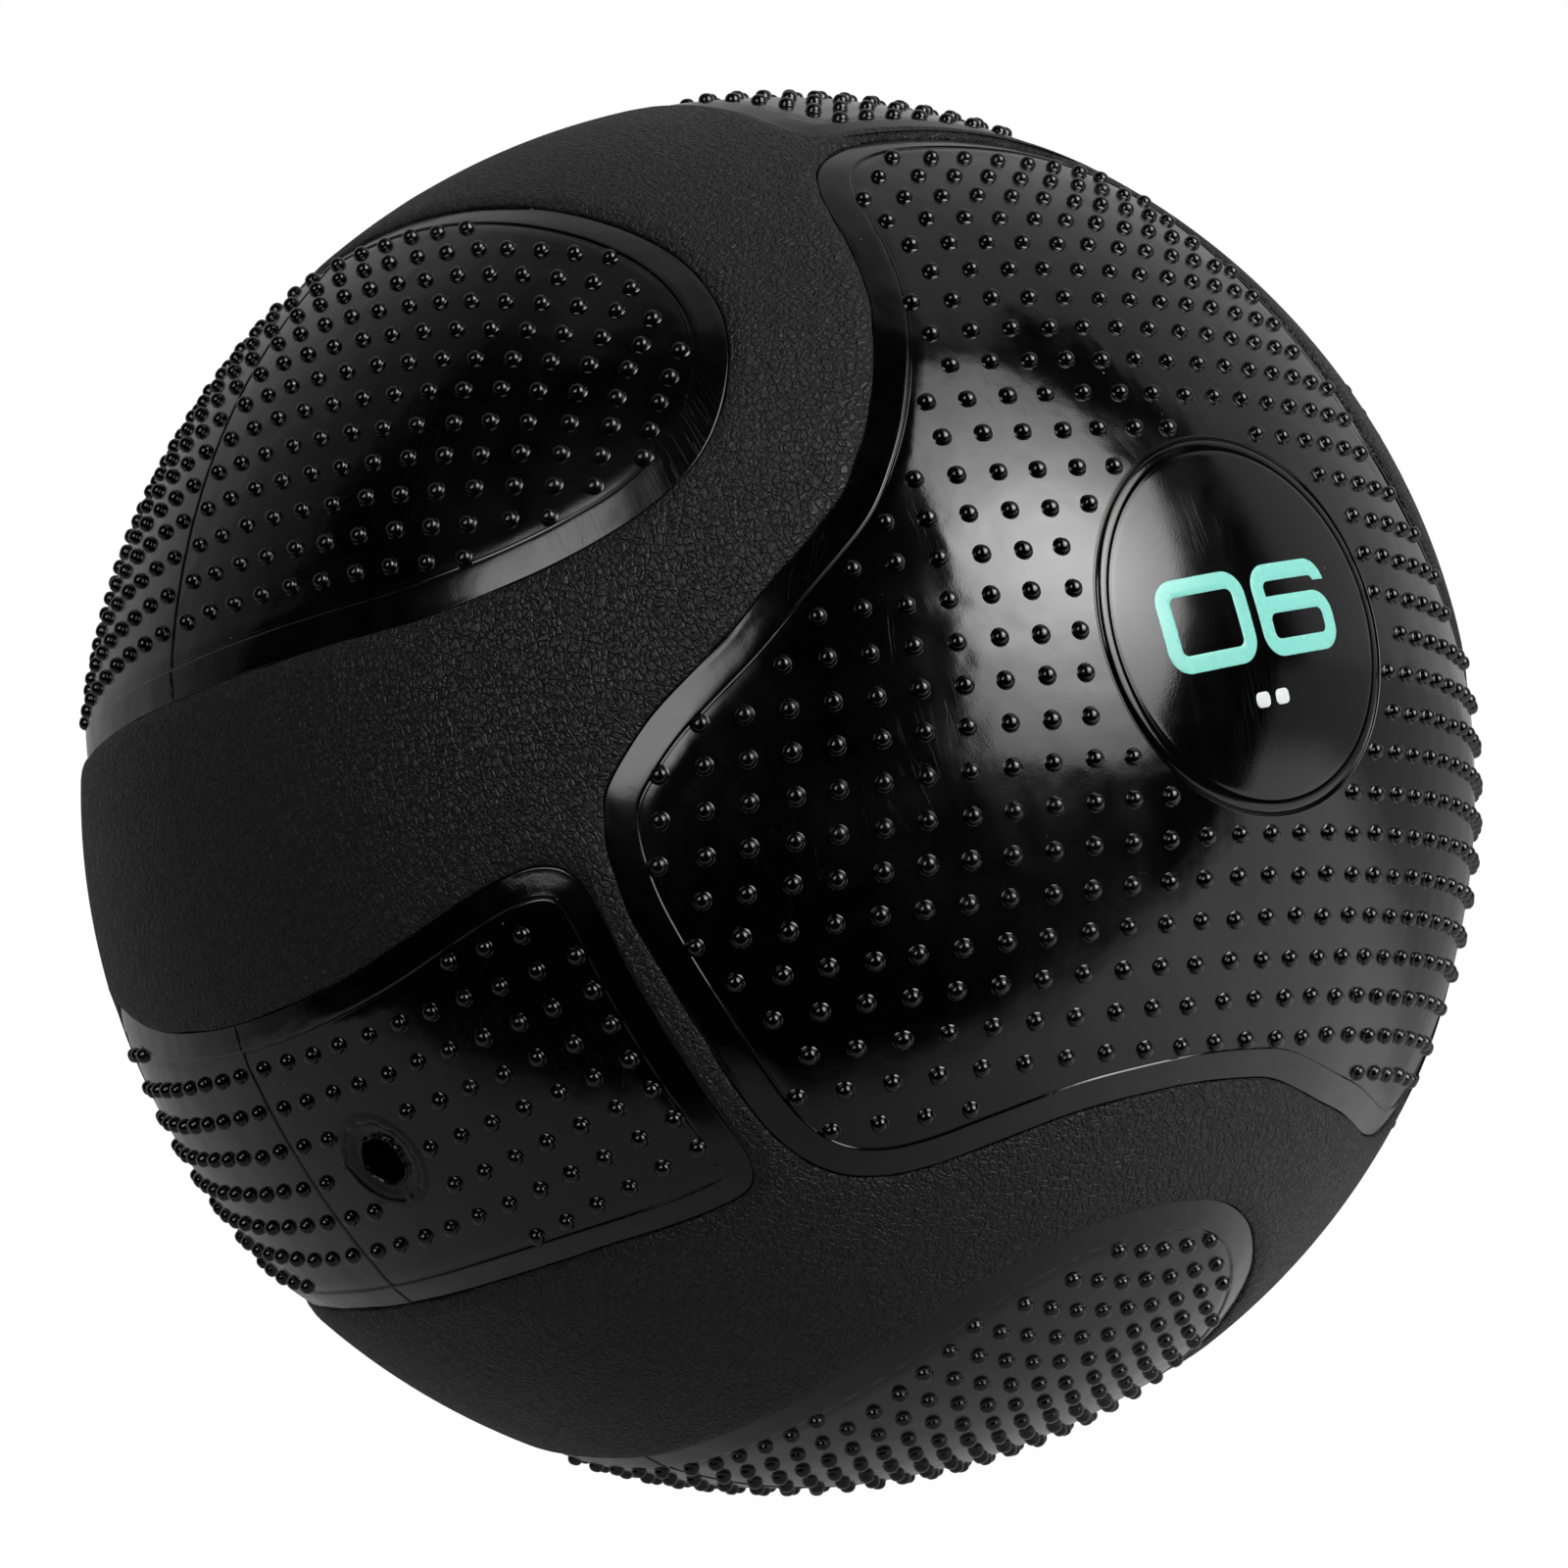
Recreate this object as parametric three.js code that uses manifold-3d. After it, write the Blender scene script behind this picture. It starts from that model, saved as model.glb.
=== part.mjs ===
// Rubber medicine ball, 6 kg, 240 mm across.
// Millimetres, +Z up. The origin is the centre of the ball. The weight disc of the front half faces -Y with
// its numerals upright, and the pattern of the rear half mirrors the front. The mould halves meet PARTING_Y
// behind the middle.
import * as THREE from "three";
import { mergeVertices } from "three/addons/utils/BufferGeometryUtils.js";
import Module from "manifold-3d";

const wasm = await Module();
wasm.setup();

// ---- Driving dimensions -------------------------------------------------------------------------
const BALL_R = 120; // outside of the leather-grain grip web
const FIELD_R = 119.6; // floor of the pip field, just below the web
const BORDER_R = 119.0; // smooth channel round each panel, between the web and the pip field
const BORDER_IN = 5.6; // width of that channel
const SKIN_IN_R = 114.2; // inside of the cover
const WALL_OUT_R = 113.9; // outside of the heavy rubber wall
const WALL_IN_R = 88.6;
const WINDING_OUT_R = 88.3;
const WINDING_IN_R = 87.0;
const BLADDER_OUT_R = 86.7;
const BLADDER_IN_R = 84.4;
const GAP = 0.3; // clearance between neighbouring pieces
const PARTING_Y = 3.6; // where the front and rear halves meet, on a plane across the Y axis

const DISC_TILT = 1.5; // degrees, the disc sits this far above the pole of its half
const DISC_RADIUS = 30.3;
const DISC_FACE_R = 119.6; // the disc's face, level with the pip field
const DISC_BEAD_R = 119.85; // rounded bead round the disc's edge
const DISC_BACK_R = WALL_OUT_R + GAP;
const NUMERAL_DEPTH = 0.9;
const NUMERAL_H = 15.0;
const NUMERAL_W = 17.6;
const NUMERAL_PITCH = 19.6;
const STROKE = 3.3;

const VALVE_THETA = 82.6; // degrees from the front pole
const VALVE_PHI = 202.6; // degrees about the pole axis, from +X towards +Z
const MOUTH_R = 4.5; // valve mouth
const COLLAR_R = 8.0; // smooth ring round the mouth
const COLLAR_TOP_R = 119.8;
const BOOT_R = 6.6; // rubber tube of the valve boot
const BOOT_BORE_R = 3.3;
const BOOT_FLANGE_R = 14;
const SEAT_R = 108.5; // distance from the centre to the ledge the valve core sits on

// ---- Outlines of the recessed panels, on the front half ------------------------------------------
// [phi, theta] in degrees: theta is measured from the front pole, phi about the pole axis.
// Each outline repeats every 120 degrees of phi, and the rear half is the mirror image.
const POLE_OUTLINE = [
  [60, 50.9], [65, 53.0], [77, 53.1], [89, 53.1], [98, 53.3], [104, 51.7], [108.5, 48.4],
  [113, 43.6], [120, 38.4], [129, 35.2], [139, 33.6], [149, 34.0], [159, 36.3], [168, 40.8], [175, 46.8],
];
// Half outlines run from the equator up to the tip and back down to the equator.
const WIDE_OUTLINE = [
  [119.5, 90], [119.4, 76], [121.0, 62], [123.8, 53.6], [128.2, 48.2], [134, 45.3], [142, 44.1],
  [150, 45.6], [156, 50.0], [160.4, 57.2], [162.8, 66.5], [163.6, 78], [163.9, 90],
];
const NARROW_OUTLINE = [
  [69.2, 90], [68.4, 78], [66.2, 67], [64.9, 61], [65.2, 57.4], [69.5, 55.5], [81, 55.2],
  [93, 55.4], [98.0, 56.6], [98.8, 60], [97.2, 67], [95.6, 78], [95.2, 90],
];

// ---- Directions and outlines ---------------------------------------------------------------------
const rad = THREE.MathUtils.degToRad;
function direction(phi, theta) {
  return new THREE.Vector3(
    Math.sin(rad(theta)) * Math.cos(rad(phi)),
    -Math.cos(rad(theta)),
    Math.sin(rad(theta)) * Math.sin(rad(phi)),
  );
}
function poleOutline() {
  const out = [];
  for (let k = 0; k < 3; k++)
    for (const [phi, theta] of POLE_OUTLINE) out.push(direction(phi + 120 * k, theta));
  return out;
}
// A panel that spans both halves: its half outline, then the same mirrored to the rear half.
function sideOutline(half, turn) {
  const out = half.map(([phi, theta]) => direction(phi + turn, theta));
  const back = half.slice(1, -1).map(([phi, theta]) => direction(phi + turn, 180 - theta));
  return out.concat(back.reverse());
}
const mirrorY = (v) => new THREE.Vector3(v.x, -v.y, v.z);
function middle(outline) {
  const c = new THREE.Vector3();
  for (const v of outline) c.add(v);
  return c.normalize();
}
// Moves every point of an outline towards the middle (or away from it, below zero), in mm on the ball.
function inset(outline, mm) {
  const n = outline.length;
  return outline.map((v, i) => {
    const before = outline[(i + n - 1) % n];
    const after = outline[(i + 1) % n];
    const along = after.clone().sub(before);
    const side = v.clone().cross(along).normalize();
    const toMiddle = middle(outline).sub(v);
    if (side.dot(toMiddle) < 0) side.negate();
    return v.clone().addScaledVector(side, mm / BALL_R).normalize();
  });
}

// ---- Solids --------------------------------------------------------------------------------------
function toSolid(geometry) {
  const g = geometry.index ? geometry.toNonIndexed() : geometry.clone();
  g.deleteAttribute("normal");
  g.deleteAttribute("uv");
  const merged = mergeVertices(g, 1e-3);
  return new wasm.Manifold(
    new wasm.Mesh({
      numProp: 3,
      vertProperties: merged.attributes.position.array,
      triVerts: new Uint32Array(merged.index.array),
    }),
  );
}
function toGeometry(solid) {
  const m = solid.getMesh();
  const position = new Float32Array(m.numVert * 3);
  for (let i = 0; i < m.numVert; i++)
    position.set(m.vertProperties.subarray(i * m.numProp, i * m.numProp + 3), i * 3);
  const g = new THREE.BufferGeometry();
  g.setAttribute("position", new THREE.BufferAttribute(position, 3));
  g.setIndex(new THREE.BufferAttribute(new Uint32Array(m.triVerts), 1));
  g.computeVertexNormals();
  return g;
}
const sphere = (r, detail) => toSolid(new THREE.IcosahedronGeometry(r, detail));
const shell = (rOut, detailOut, rIn, detailIn) =>
  sphere(rOut, detailOut).subtract(sphere(rIn, detailIn));

// A wedge from the ball's middle outwards with the given outline, used to cut panels and windows.
function wedge(outline, rIn = 98, rOut = 150) {
  const n = outline.length;
  const c = middle(outline);
  const p = [];
  for (const v of outline) p.push(v.x * rIn, v.y * rIn, v.z * rIn);
  for (const v of outline) p.push(v.x * rOut, v.y * rOut, v.z * rOut);
  p.push(c.x * rIn, c.y * rIn, c.z * rIn, c.x * rOut, c.y * rOut, c.z * rOut);
  const turn = new THREE.Vector3();
  for (let i = 0; i < n; i++) turn.add(outline[i].clone().cross(outline[(i + 1) % n]));
  const ccw = turn.dot(c) > 0;
  const index = [];
  for (let i = 0; i < n; i++) {
    const j = (i + 1) % n;
    const quads = [
      [2 * n + 1, n + i, n + j],
      [2 * n, j, i],
      [i, j, n + j],
      [i, n + j, n + i],
    ];
    for (const [a, b, d] of quads) ccw ? index.push(a, b, d) : index.push(a, d, b);
  }
  const g = new THREE.BufferGeometry();
  g.setAttribute("position", new THREE.BufferAttribute(new Float32Array(p), 3));
  g.setIndex(index);
  return toSolid(g);
}
// Everything on one side of the parting line: front is -Y.
function halfSpace(front) {
  const g = new THREE.BoxGeometry(400, 200, 400);
  g.translate(0, PARTING_Y + (front ? -1 : 1) * (100 + GAP / 2), 0);
  return toSolid(g);
}
// A lathe solid about +Z, turned so that +Z points along axis.
function lathe(profile, axis, segments = 40) {
  const g = new THREE.LatheGeometry(
    profile.map(([r, z]) => new THREE.Vector2(r, z)),
    segments,
  );
  g.rotateX(Math.PI / 2); // the lathe's own axis is +Y
  g.applyQuaternion(
    new THREE.Quaternion().setFromUnitVectors(new THREE.Vector3(0, 0, 1), axis),
  );
  return toSolid(g);
}
const rod = (r, z0, z1, axis, segments = 40) =>
  lathe([[0, z0], [r, z0], [r, z1], [0, z1]], axis, segments);

// ---- Materials -----------------------------------------------------------------------------------
const rubber = (color, roughness) =>
  new THREE.MeshStandardMaterial({ color, roughness, metalness: 0 });
const GRAIN = () => rubber(0x1b1b1c, 0.72);
const GLOSS = () => rubber(0x0b0b0c, 0.22);
const TEAL = () => rubber(0x76ebd6, 0.45);
const WHITE = () => rubber(0xdfe2e1, 0.45);

const ball = new THREE.Group();
ball.name = "medicine_ball";
function add(name, solid, material, group = ball) {
  const mesh = new THREE.Mesh(toGeometry(solid), material);
  mesh.name = name;
  group.add(mesh);
}

// ---- Valve axis ----------------------------------------------------------------------------------
const valveAxis = direction(VALVE_PHI, VALVE_THETA);

// ---- Cover: the grip web and the recessed panels ---------------------------------------------------
const front = halfSpace(true);
const rear = halfSpace(false);
const outlinePole = poleOutline();
const wide = [0, 120, 240].map((turn) => sideOutline(WIDE_OUTLINE, turn));
const narrow = [0, 120, 240].map((turn) => sideOutline(NARROW_OUTLINE, turn));

const webShell = shell(BALL_R, 6, SKIN_IN_R, 3);
let windows = wedge(inset(outlinePole, -GAP / 2));
windows = windows.add(wedge(inset(outlinePole.map(mirrorY), -GAP / 2)));
for (const o of [...wide, ...narrow]) windows = windows.add(wedge(inset(o, -GAP / 2)));
const web = webShell.subtract(windows);
add("grip_web_front", web.intersect(front), GRAIN());
add("grip_web_rear", web.intersect(rear), GRAIN());

// A panel is the raised pip field with the smooth lower channel round it.
const fieldShell = shell(FIELD_R, 5, SKIN_IN_R, 3);
const borderShell = shell(BORDER_R, 5, SKIN_IN_R, 3);
function panel(outline) {
  const outer = wedge(inset(outline, GAP / 2));
  const inner = wedge(inset(outline, BORDER_IN));
  return borderShell.intersect(outer).add(fieldShell.intersect(inner));
}
const discAxisFront = direction(90, DISC_TILT);
const discAxisRear = mirrorY(discAxisFront);
add(
  "pip_panel_front",
  panel(outlinePole).subtract(rod(DISC_RADIUS + GAP, 100, 130, discAxisFront, 28)),
  GLOSS(),
);
add(
  "pip_panel_rear",
  panel(outlinePole.map(mirrorY)).subtract(rod(DISC_RADIUS + GAP, 100, 130, discAxisRear, 28)),
  GLOSS(),
);
wide.forEach((o, i) => add(`pip_panel_wide_${i + 1}`, panel(o), GLOSS()));
narrow.forEach((o, i) => {
  let s = panel(o);
  if (i === 1) s = s.subtract(rod(COLLAR_R + GAP, 100, 130, valveAxis, 18)); // the panel that carries the valve
  add(i === 1 ? "pip_panel_narrow_valve" : `pip_panel_narrow_${i === 0 ? 1 : 2}`, s, GLOSS());
});

// ---- Weight discs, one at each pole --------------------------------------------------------------
// Everything here is built about +Z with the numerals upright along +Y, in a group that turns it to its pole.
const sag = (R, r) => Math.sqrt(R * R - r * r);
function discProfile() {
  const p = [];
  for (const r of [0, 15, DISC_RADIUS]) p.push([r, sag(DISC_BACK_R, r)]);
  p.push([DISC_RADIUS, sag(FIELD_R, DISC_RADIUS) + 0.35]);
  p.push([DISC_RADIUS - 0.8, sag(DISC_BEAD_R, DISC_RADIUS - 0.8)]);
  p.push([DISC_RADIUS - 1.9, sag(DISC_BEAD_R, DISC_RADIUS - 1.9)]);
  p.push([DISC_RADIUS - 2.8, sag(DISC_FACE_R - 0.4, DISC_RADIUS - 2.8)]);
  for (const r of [DISC_RADIUS - 3.6, 18, 9, 0]) p.push([r, sag(DISC_FACE_R, r)]);
  return p;
}
// A rounded rectangle path, anticlockwise, centred on (x, y).
function pill(path, x, y, w, h, r) {
  path.moveTo(x - w / 2 + r, y - h / 2);
  path.absarc(x + w / 2 - r, y - h / 2 + r, r, -Math.PI / 2, 0, false);
  path.absarc(x + w / 2 - r, y + h / 2 - r, r, 0, Math.PI / 2, false);
  path.absarc(x - w / 2 + r, y + h / 2 - r, r, Math.PI / 2, Math.PI, false);
  path.absarc(x - w / 2 + r, y - h / 2 + r, r, Math.PI, Math.PI * 1.5, false);
  return path;
}
const CORNER = 6.6;
// Plain numerals of one even stroke; grow widens a mark for the pocket that it sits in.
function zeroShape(grow) {
  const w = NUMERAL_W;
  const h = NUMERAL_H;
  const s = STROKE;
  const shape = pill(new THREE.Shape(), 0, 0, w + 2 * grow, h + 2 * grow, CORNER + grow);
  shape.holes.push(
    pill(new THREE.Path(), 0, 0, w - 2 * s - 2 * grow, h - 2 * s - 2 * grow, CORNER - s - grow),
  );
  return shape;
}
function sixShape(grow) {
  const x = NUMERAL_W / 2 + grow; // right edge of the bowl
  const y = NUMERAL_H / 2 + grow;
  const r = CORNER + grow;
  const xi = NUMERAL_W / 2 - STROKE - grow; // inside of the strokes
  const yi = NUMERAL_H / 2 - STROKE - grow;
  const bowlTop = 1.75 + grow; // top edge of the bowl
  const rb = 4.5 + grow; // corners of the bowl
  const armEnd = NUMERAL_W / 2 - 1.6 + grow;
  const shape = new THREE.Shape();
  shape.moveTo(-x + r, -y);
  shape.absarc(x - rb, -y + rb, rb, -Math.PI / 2, 0, false);
  shape.absarc(x - rb, bowlTop - rb, rb, 0, Math.PI / 2, false);
  shape.lineTo(-xi, bowlTop);
  shape.absarc(-xi + (CORNER - STROKE - grow), yi - (CORNER - STROKE - grow), CORNER - STROKE - grow, Math.PI, Math.PI / 2, true);
  shape.lineTo(armEnd, yi);
  shape.lineTo(armEnd, y);
  shape.absarc(-x + r, y - r, r, Math.PI / 2, Math.PI, false);
  shape.absarc(-x + r, -y + r, r, Math.PI, Math.PI * 1.5, false);
  const low = -NUMERAL_H / 2 + STROKE + grow;
  const high = 1.75 - STROKE - grow;
  shape.holes.push(
    pill(new THREE.Path(), 0, (low + high) / 2, 2 * xi, high - low, Math.min(1.2, (high - low) / 2 - 0.05)),
  );
  return shape;
}
function barShape(grow) {
  return pill(new THREE.Shape(), 0, 0, 3.2 + 2 * grow, 2.7 + 2 * grow, 0.9 + grow);
}
// A mark cut from the shape, its bottom on the sphere of radius bottomR and its top on that of topR.
function markGeometry(shape, x, y, bottomR, topR) {
  const g = new THREE.ExtrudeGeometry(shape, { depth: 1, bevelEnabled: false, curveSegments: 3 });
  g.translate(x, y, 0);
  const p = g.attributes.position;
  for (let i = 0; i < p.count; i++) {
    const r = Math.hypot(p.getX(i), p.getY(i));
    p.setZ(i, sag(p.getZ(i) > 0.5 ? topR : bottomR, r));
  }
  return g;
}
const MARKS = [
  ["numeral_zero", zeroShape, -NUMERAL_PITCH / 2, 0, TEAL],
  ["numeral_six", sixShape, NUMERAL_PITCH / 2, 0, TEAL],
  ["unit_mark_left", barShape, -2.2, -13.0, WHITE],
  ["unit_mark_right", barShape, 2.2, -13.0, WHITE],
];
const MARK_TOP_R = DISC_FACE_R + 0.15;
const MARK_BACK_R = MARK_TOP_R - NUMERAL_DEPTH;
for (const half of ["front", "rear"]) {
  const z = half === "front" ? discAxisFront : discAxisRear;
  const up = new THREE.Vector3(0, 0, 1).addScaledVector(z, -z.z).normalize();
  const turned = new THREE.Group();
  turned.quaternion.setFromRotationMatrix(
    new THREE.Matrix4().makeBasis(up.clone().cross(z), up, z),
  );
  let disc = lathe(discProfile(), new THREE.Vector3(0, 0, 1), 28);
  for (const [name, shapeOf, x, y, material] of MARKS) {
    disc = disc.subtract(toSolid(markGeometry(shapeOf(GAP), x, y, MARK_BACK_R - GAP, 130)));
    add(`${name}_${half}`, toSolid(markGeometry(shapeOf(0), x, y, MARK_BACK_R, MARK_TOP_R)), material(), turned);
  }
  add(`weight_disc_${half}`, disc, GLOSS(), turned);
  ball.add(turned);
}

// ---- Heavy rubber wall, two moulded halves joined where the cover's halves meet ----------------------------
const boreForBoot = rod(BOOT_R + GAP, 70, 130, valveAxis, 18);
const wall = shell(WALL_OUT_R, 3, WALL_IN_R, 3).subtract(boreForBoot);
add("heavy_wall_front", wall.intersect(front), rubber(0x161616, 0.85));
add("heavy_wall_rear", wall.intersect(rear), rubber(0x161616, 0.85));

// ---- Thread winding and bladder, both open where the valve boot passes -----------------------------
add(
  "thread_winding",
  shell(WINDING_OUT_R, 3, WINDING_IN_R, 3).subtract(boreForBoot),
  rubber(0xcfc9b8, 0.9),
);
add(
  "butyl_bladder",
  shell(BLADDER_OUT_R, 3, BLADDER_IN_R, 3).subtract(boreForBoot),
  rubber(0x242424, 0.6),
);

// ---- Valve ---------------------------------------------------------------------------------------
const flangeTop = Math.sqrt(BLADDER_IN_R ** 2 - BOOT_FLANGE_R ** 2) - 1.8;
const bootTop = 113.2;
add(
  "valve_boot",
  lathe(
    [
      [BOOT_BORE_R, flangeTop - 2], [BOOT_FLANGE_R, flangeTop - 2], [BOOT_FLANGE_R, flangeTop],
      [BOOT_R, flangeTop + 0.3], [BOOT_R, bootTop], [MOUTH_R + 0.1, bootTop],
      [MOUTH_R + 0.1, SEAT_R], [BOOT_BORE_R, SEAT_R], [BOOT_BORE_R, flangeTop - 2],
    ],
    valveAxis,
    18,
  ),
  rubber(0x101010, 0.6),
);
add(
  "valve_collar",
  lathe(
    [
      [MOUTH_R, SKIN_IN_R + 0.1], [COLLAR_R, SKIN_IN_R + 0.1], [COLLAR_R, COLLAR_TOP_R - 1.2],
      [COLLAR_R - 1.0, COLLAR_TOP_R - 0.35], [COLLAR_R - 2.2, COLLAR_TOP_R],
      [MOUTH_R + 0.5, COLLAR_TOP_R - 0.1], [MOUTH_R, COLLAR_TOP_R - 0.6], [MOUTH_R, SKIN_IN_R + 0.1],
    ],
    valveAxis,
    18,
  ),
  GLOSS(),
);
// The core is a headed rubber plug with a needle slit, pressed into the boot and drawn out to change it.
add(
  "valve_core",
  lathe(
    [
      [0.8, 92], [2.2, 92], [3.0, 94], [3.0, SEAT_R + GAP], [4.1, SEAT_R + GAP], [4.1, SEAT_R + 2.2],
      [3.6, SEAT_R + 2.8], [1.4, SEAT_R + 2.8], [0.8, SEAT_R + 2.2], [0.8, 92],
    ],
    valveAxis,
    18,
  ),
  rubber(0x1a1a1a, 0.5),
);

export default ball;
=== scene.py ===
"""Looks of the rubber medicine ball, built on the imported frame. Geometry is worked out in millimetres about
the ball's centre and written in metres."""

import math  # noqa: E402

import bmesh  # noqa: E402
import bpy  # noqa: E402
import numpy as np  # noqa: E402
from mathutils import Matrix, Vector  # noqa: E402
from mathutils.geometry import delaunay_2d_cdt  # noqa: E402


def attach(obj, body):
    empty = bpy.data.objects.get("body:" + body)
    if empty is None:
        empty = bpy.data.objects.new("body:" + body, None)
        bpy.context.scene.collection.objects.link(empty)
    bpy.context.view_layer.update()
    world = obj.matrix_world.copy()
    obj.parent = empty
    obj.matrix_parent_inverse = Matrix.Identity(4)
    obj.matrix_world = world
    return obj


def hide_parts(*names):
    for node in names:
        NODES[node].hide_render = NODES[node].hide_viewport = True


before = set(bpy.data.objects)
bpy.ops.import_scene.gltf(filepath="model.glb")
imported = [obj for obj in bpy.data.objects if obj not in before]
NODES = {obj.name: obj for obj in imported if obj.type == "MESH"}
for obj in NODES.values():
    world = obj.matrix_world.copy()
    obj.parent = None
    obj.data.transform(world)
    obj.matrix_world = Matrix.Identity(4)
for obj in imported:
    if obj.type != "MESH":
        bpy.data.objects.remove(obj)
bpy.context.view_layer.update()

# ---- Dimensions, millimetres ---------------------------------------------------------------------
BALL_R = 120.0
FIELD_R = 119.5
CHANNEL_R = 118.95
PARTING_Y = 3.6
DISC_TILT, DISC_TURN = 1.35, 62.0
DISC_RADIUS = 29.9
FACE_R = 119.62
NUMERAL_H, NUMERAL_W, NUMERAL_PITCH, STROKE, CORNER = 14.6, 17.9, 19.7, 2.65, 3.9
VALVE_THETA, VALVE_PHI = 82.6, 202.6
COLLAR_R, MOUTH_R = 8.0, 4.5
PIP_R, PIP_H = 1.30, 1.34

POLE = [
    [60, 52.0], [63, 52.9], [66, 53.3], [71, 53.4], [77, 53.1], [83, 52.9], [89, 53.1], [94, 53.4],
    [98, 53.3], [101, 52.8], [104, 51.7], [107, 49.7], [110, 46.8], [113, 43.6], [117, 40.3], [121, 37.9],
    [126, 36.0], [132, 34.5], [138, 33.7], [144, 33.6], [150, 34.1], [156, 36.0], [162, 38.7], [167, 41.5],
    [171, 44.7], [175, 48.3],
]
WIDE = [
    [119.5, 90], [119.3, 82], [119.6, 74], [120.4, 66], [121.8, 59], [123.8, 53.6], [126.6, 49.7],
    [130, 47.0], [134, 45.3], [138, 44.4], [142, 44.1], [146, 44.4], [150, 45.6], [154, 48.0],
    [157, 51.2], [159.6, 55.4], [161.5, 60.4], [162.8, 66.5], [163.4, 74], [163.7, 82], [163.9, 90],
]
NARROW = [
    [69.2, 90], [68.9, 82], [67.9, 74], [66.2, 67], [65.0, 62], [64.9, 58.6], [66.4, 56.3],
    [69.5, 55.5], [77, 55.2], [85, 55.2], [92, 55.4], [96.4, 55.9], [98.9, 57.5], [98.6, 61],
    [97.4, 66], [96.2, 72], [95.4, 80], [95.2, 90],
]

rng = np.random.default_rng(7)


# ---- Sphere helpers ------------------------------------------------------------------------------
def direction(phi, theta):
    p, t = np.radians(phi), np.radians(theta)
    return np.stack([np.sin(t) * np.cos(p), -np.cos(t) * np.ones_like(p), np.sin(t) * np.sin(p)], -1)


def unit(v):
    return v / np.linalg.norm(v, axis=-1, keepdims=True)


def smooth_closed(points, per=14):
    """Catmull-Rom through a closed run of directions."""
    p = np.asarray(points)
    a, b, c, d = np.roll(p, 1, 0), p, np.roll(p, -1, 0), np.roll(p, -2, 0)
    out = []
    for t in np.linspace(0, 1, per, endpoint=False):
        out.append(
            0.5 * ((2 * b) + (c - a) * t + (2 * a - 5 * b + 4 * c - d) * t**2 + (3 * b - a - 3 * c + d) * t**3)
        )
    return unit(np.stack(out, 1).reshape(-1, 3))


def resample(ring, n):
    closed = np.vstack([ring, ring[:1]])
    seg = np.linalg.norm(np.diff(closed, axis=0), axis=1)
    s = np.concatenate([[0], np.cumsum(seg)])
    t = np.linspace(0, s[-1], n, endpoint=False)
    return unit(np.stack([np.interp(t, s, closed[:, k]) for k in range(3)], -1))


def length_mm(ring):
    return np.linalg.norm(np.roll(ring, -1, 0) - ring, axis=1).sum() * BALL_R


def counterclockwise(ring):
    turn = np.cross(ring, np.roll(ring, -1, 0)).sum(0)
    return ring if turn @ ring.mean(0) > 0 else ring[::-1].copy()


def pole_outline():
    pts = [direction(phi + 120 * k, theta) for k in range(3) for phi, theta in POLE]
    return smooth_closed(np.array(pts))


def side_outline(half, turn):
    front = [direction(phi + turn, theta) for phi, theta in half]
    back = [direction(phi + turn, 180 - theta) for phi, theta in half[1:-1]]
    return smooth_closed(np.array(front + back[::-1]))


def prepared(ring, step):
    """The outline evenly spaced, with its tightest corners eased."""
    ring = counterclockwise(ring)
    n = int(round(length_mm(ring) / step))
    ring = resample(ring, n)
    for _ in range(3):
        ring = resample(unit(0.5 * ring + 0.25 * (np.roll(ring, 1, 0) + np.roll(ring, -1, 0))), n)
    return ring


def march(ring, targets, ease=0.12):
    """Rings at growing distances (mm) inside ring, or outside it below zero, in step with its points."""
    rings, here, s = {}, ring, 0.0
    sign = 1 if max(targets) > 0 else -1
    for target in sorted(targets, key=abs):
        while abs(target) - abs(s) > 1e-6:
            step = min(0.5, abs(target) - abs(s))
            tangent = np.roll(here, -1, 0) - np.roll(here, 1, 0)
            inward = unit(np.cross(here, tangent))
            here = unit(here + sign * inward * step / BALL_R)
            k = ease * step / 0.5
            here = unit((1 - k) * here + k / 2 * (np.roll(here, 1, 0) + np.roll(here, -1, 0)))
            s += sign * step
        rings[target] = here
    return rings


def plane_of(centre):
    """Two axes across centre, for a stereographic map about it."""
    c = unit(np.asarray(centre, float))
    a = np.array([0.0, 0.0, 1.0]) if abs(c[2]) < 0.9 else np.array([1.0, 0.0, 0.0])
    u = unit(np.cross(a, c))
    return c, u, np.cross(c, u)


def flat(points, axes):
    c, u, v = axes
    w = 1 + points @ c
    return np.stack([points @ u / w, points @ v / w], -1)


def unflat(xy, axes):
    c, u, v = axes
    r2 = (xy**2).sum(-1, keepdims=True)
    return (2 * xy[..., :1] * u + 2 * xy[..., 1:] * v + (1 - r2) * c) / (1 + r2)


def inside(points, polygon):
    """Which 2-D points lie inside the closed polygon."""
    x, y = points[:, :1], points[:, 1:]
    x0, y0 = polygon[:, 0][None], polygon[:, 1][None]
    x1, y1 = np.roll(polygon[:, 0], -1)[None], np.roll(polygon[:, 1], -1)[None]
    out = np.zeros(len(points), bool)
    for i in range(0, len(points), 4000):
        xs, ys = x[i : i + 4000], y[i : i + 4000]
        crosses = (y0 > ys) != (y1 > ys)
        with np.errstate(divide="ignore", invalid="ignore"):
            at = (x1 - x0) * (ys - y0) / (y1 - y0) + x0
        out[i : i + 4000] = (crosses & (xs < at)).sum(1) % 2 == 1
    return out


def fibonacci(spacing):
    """Even points all over the sphere."""
    n = int(4 * math.pi * BALL_R**2 / (0.866 * spacing**2))
    i = np.arange(n) + 0.5
    z = 1 - 2 * i / n
    a = math.pi * (1 + 5**0.5) * i
    r = np.sqrt(1 - z * z)
    return np.stack([r * np.cos(a), z, r * np.sin(a)], -1)


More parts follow.
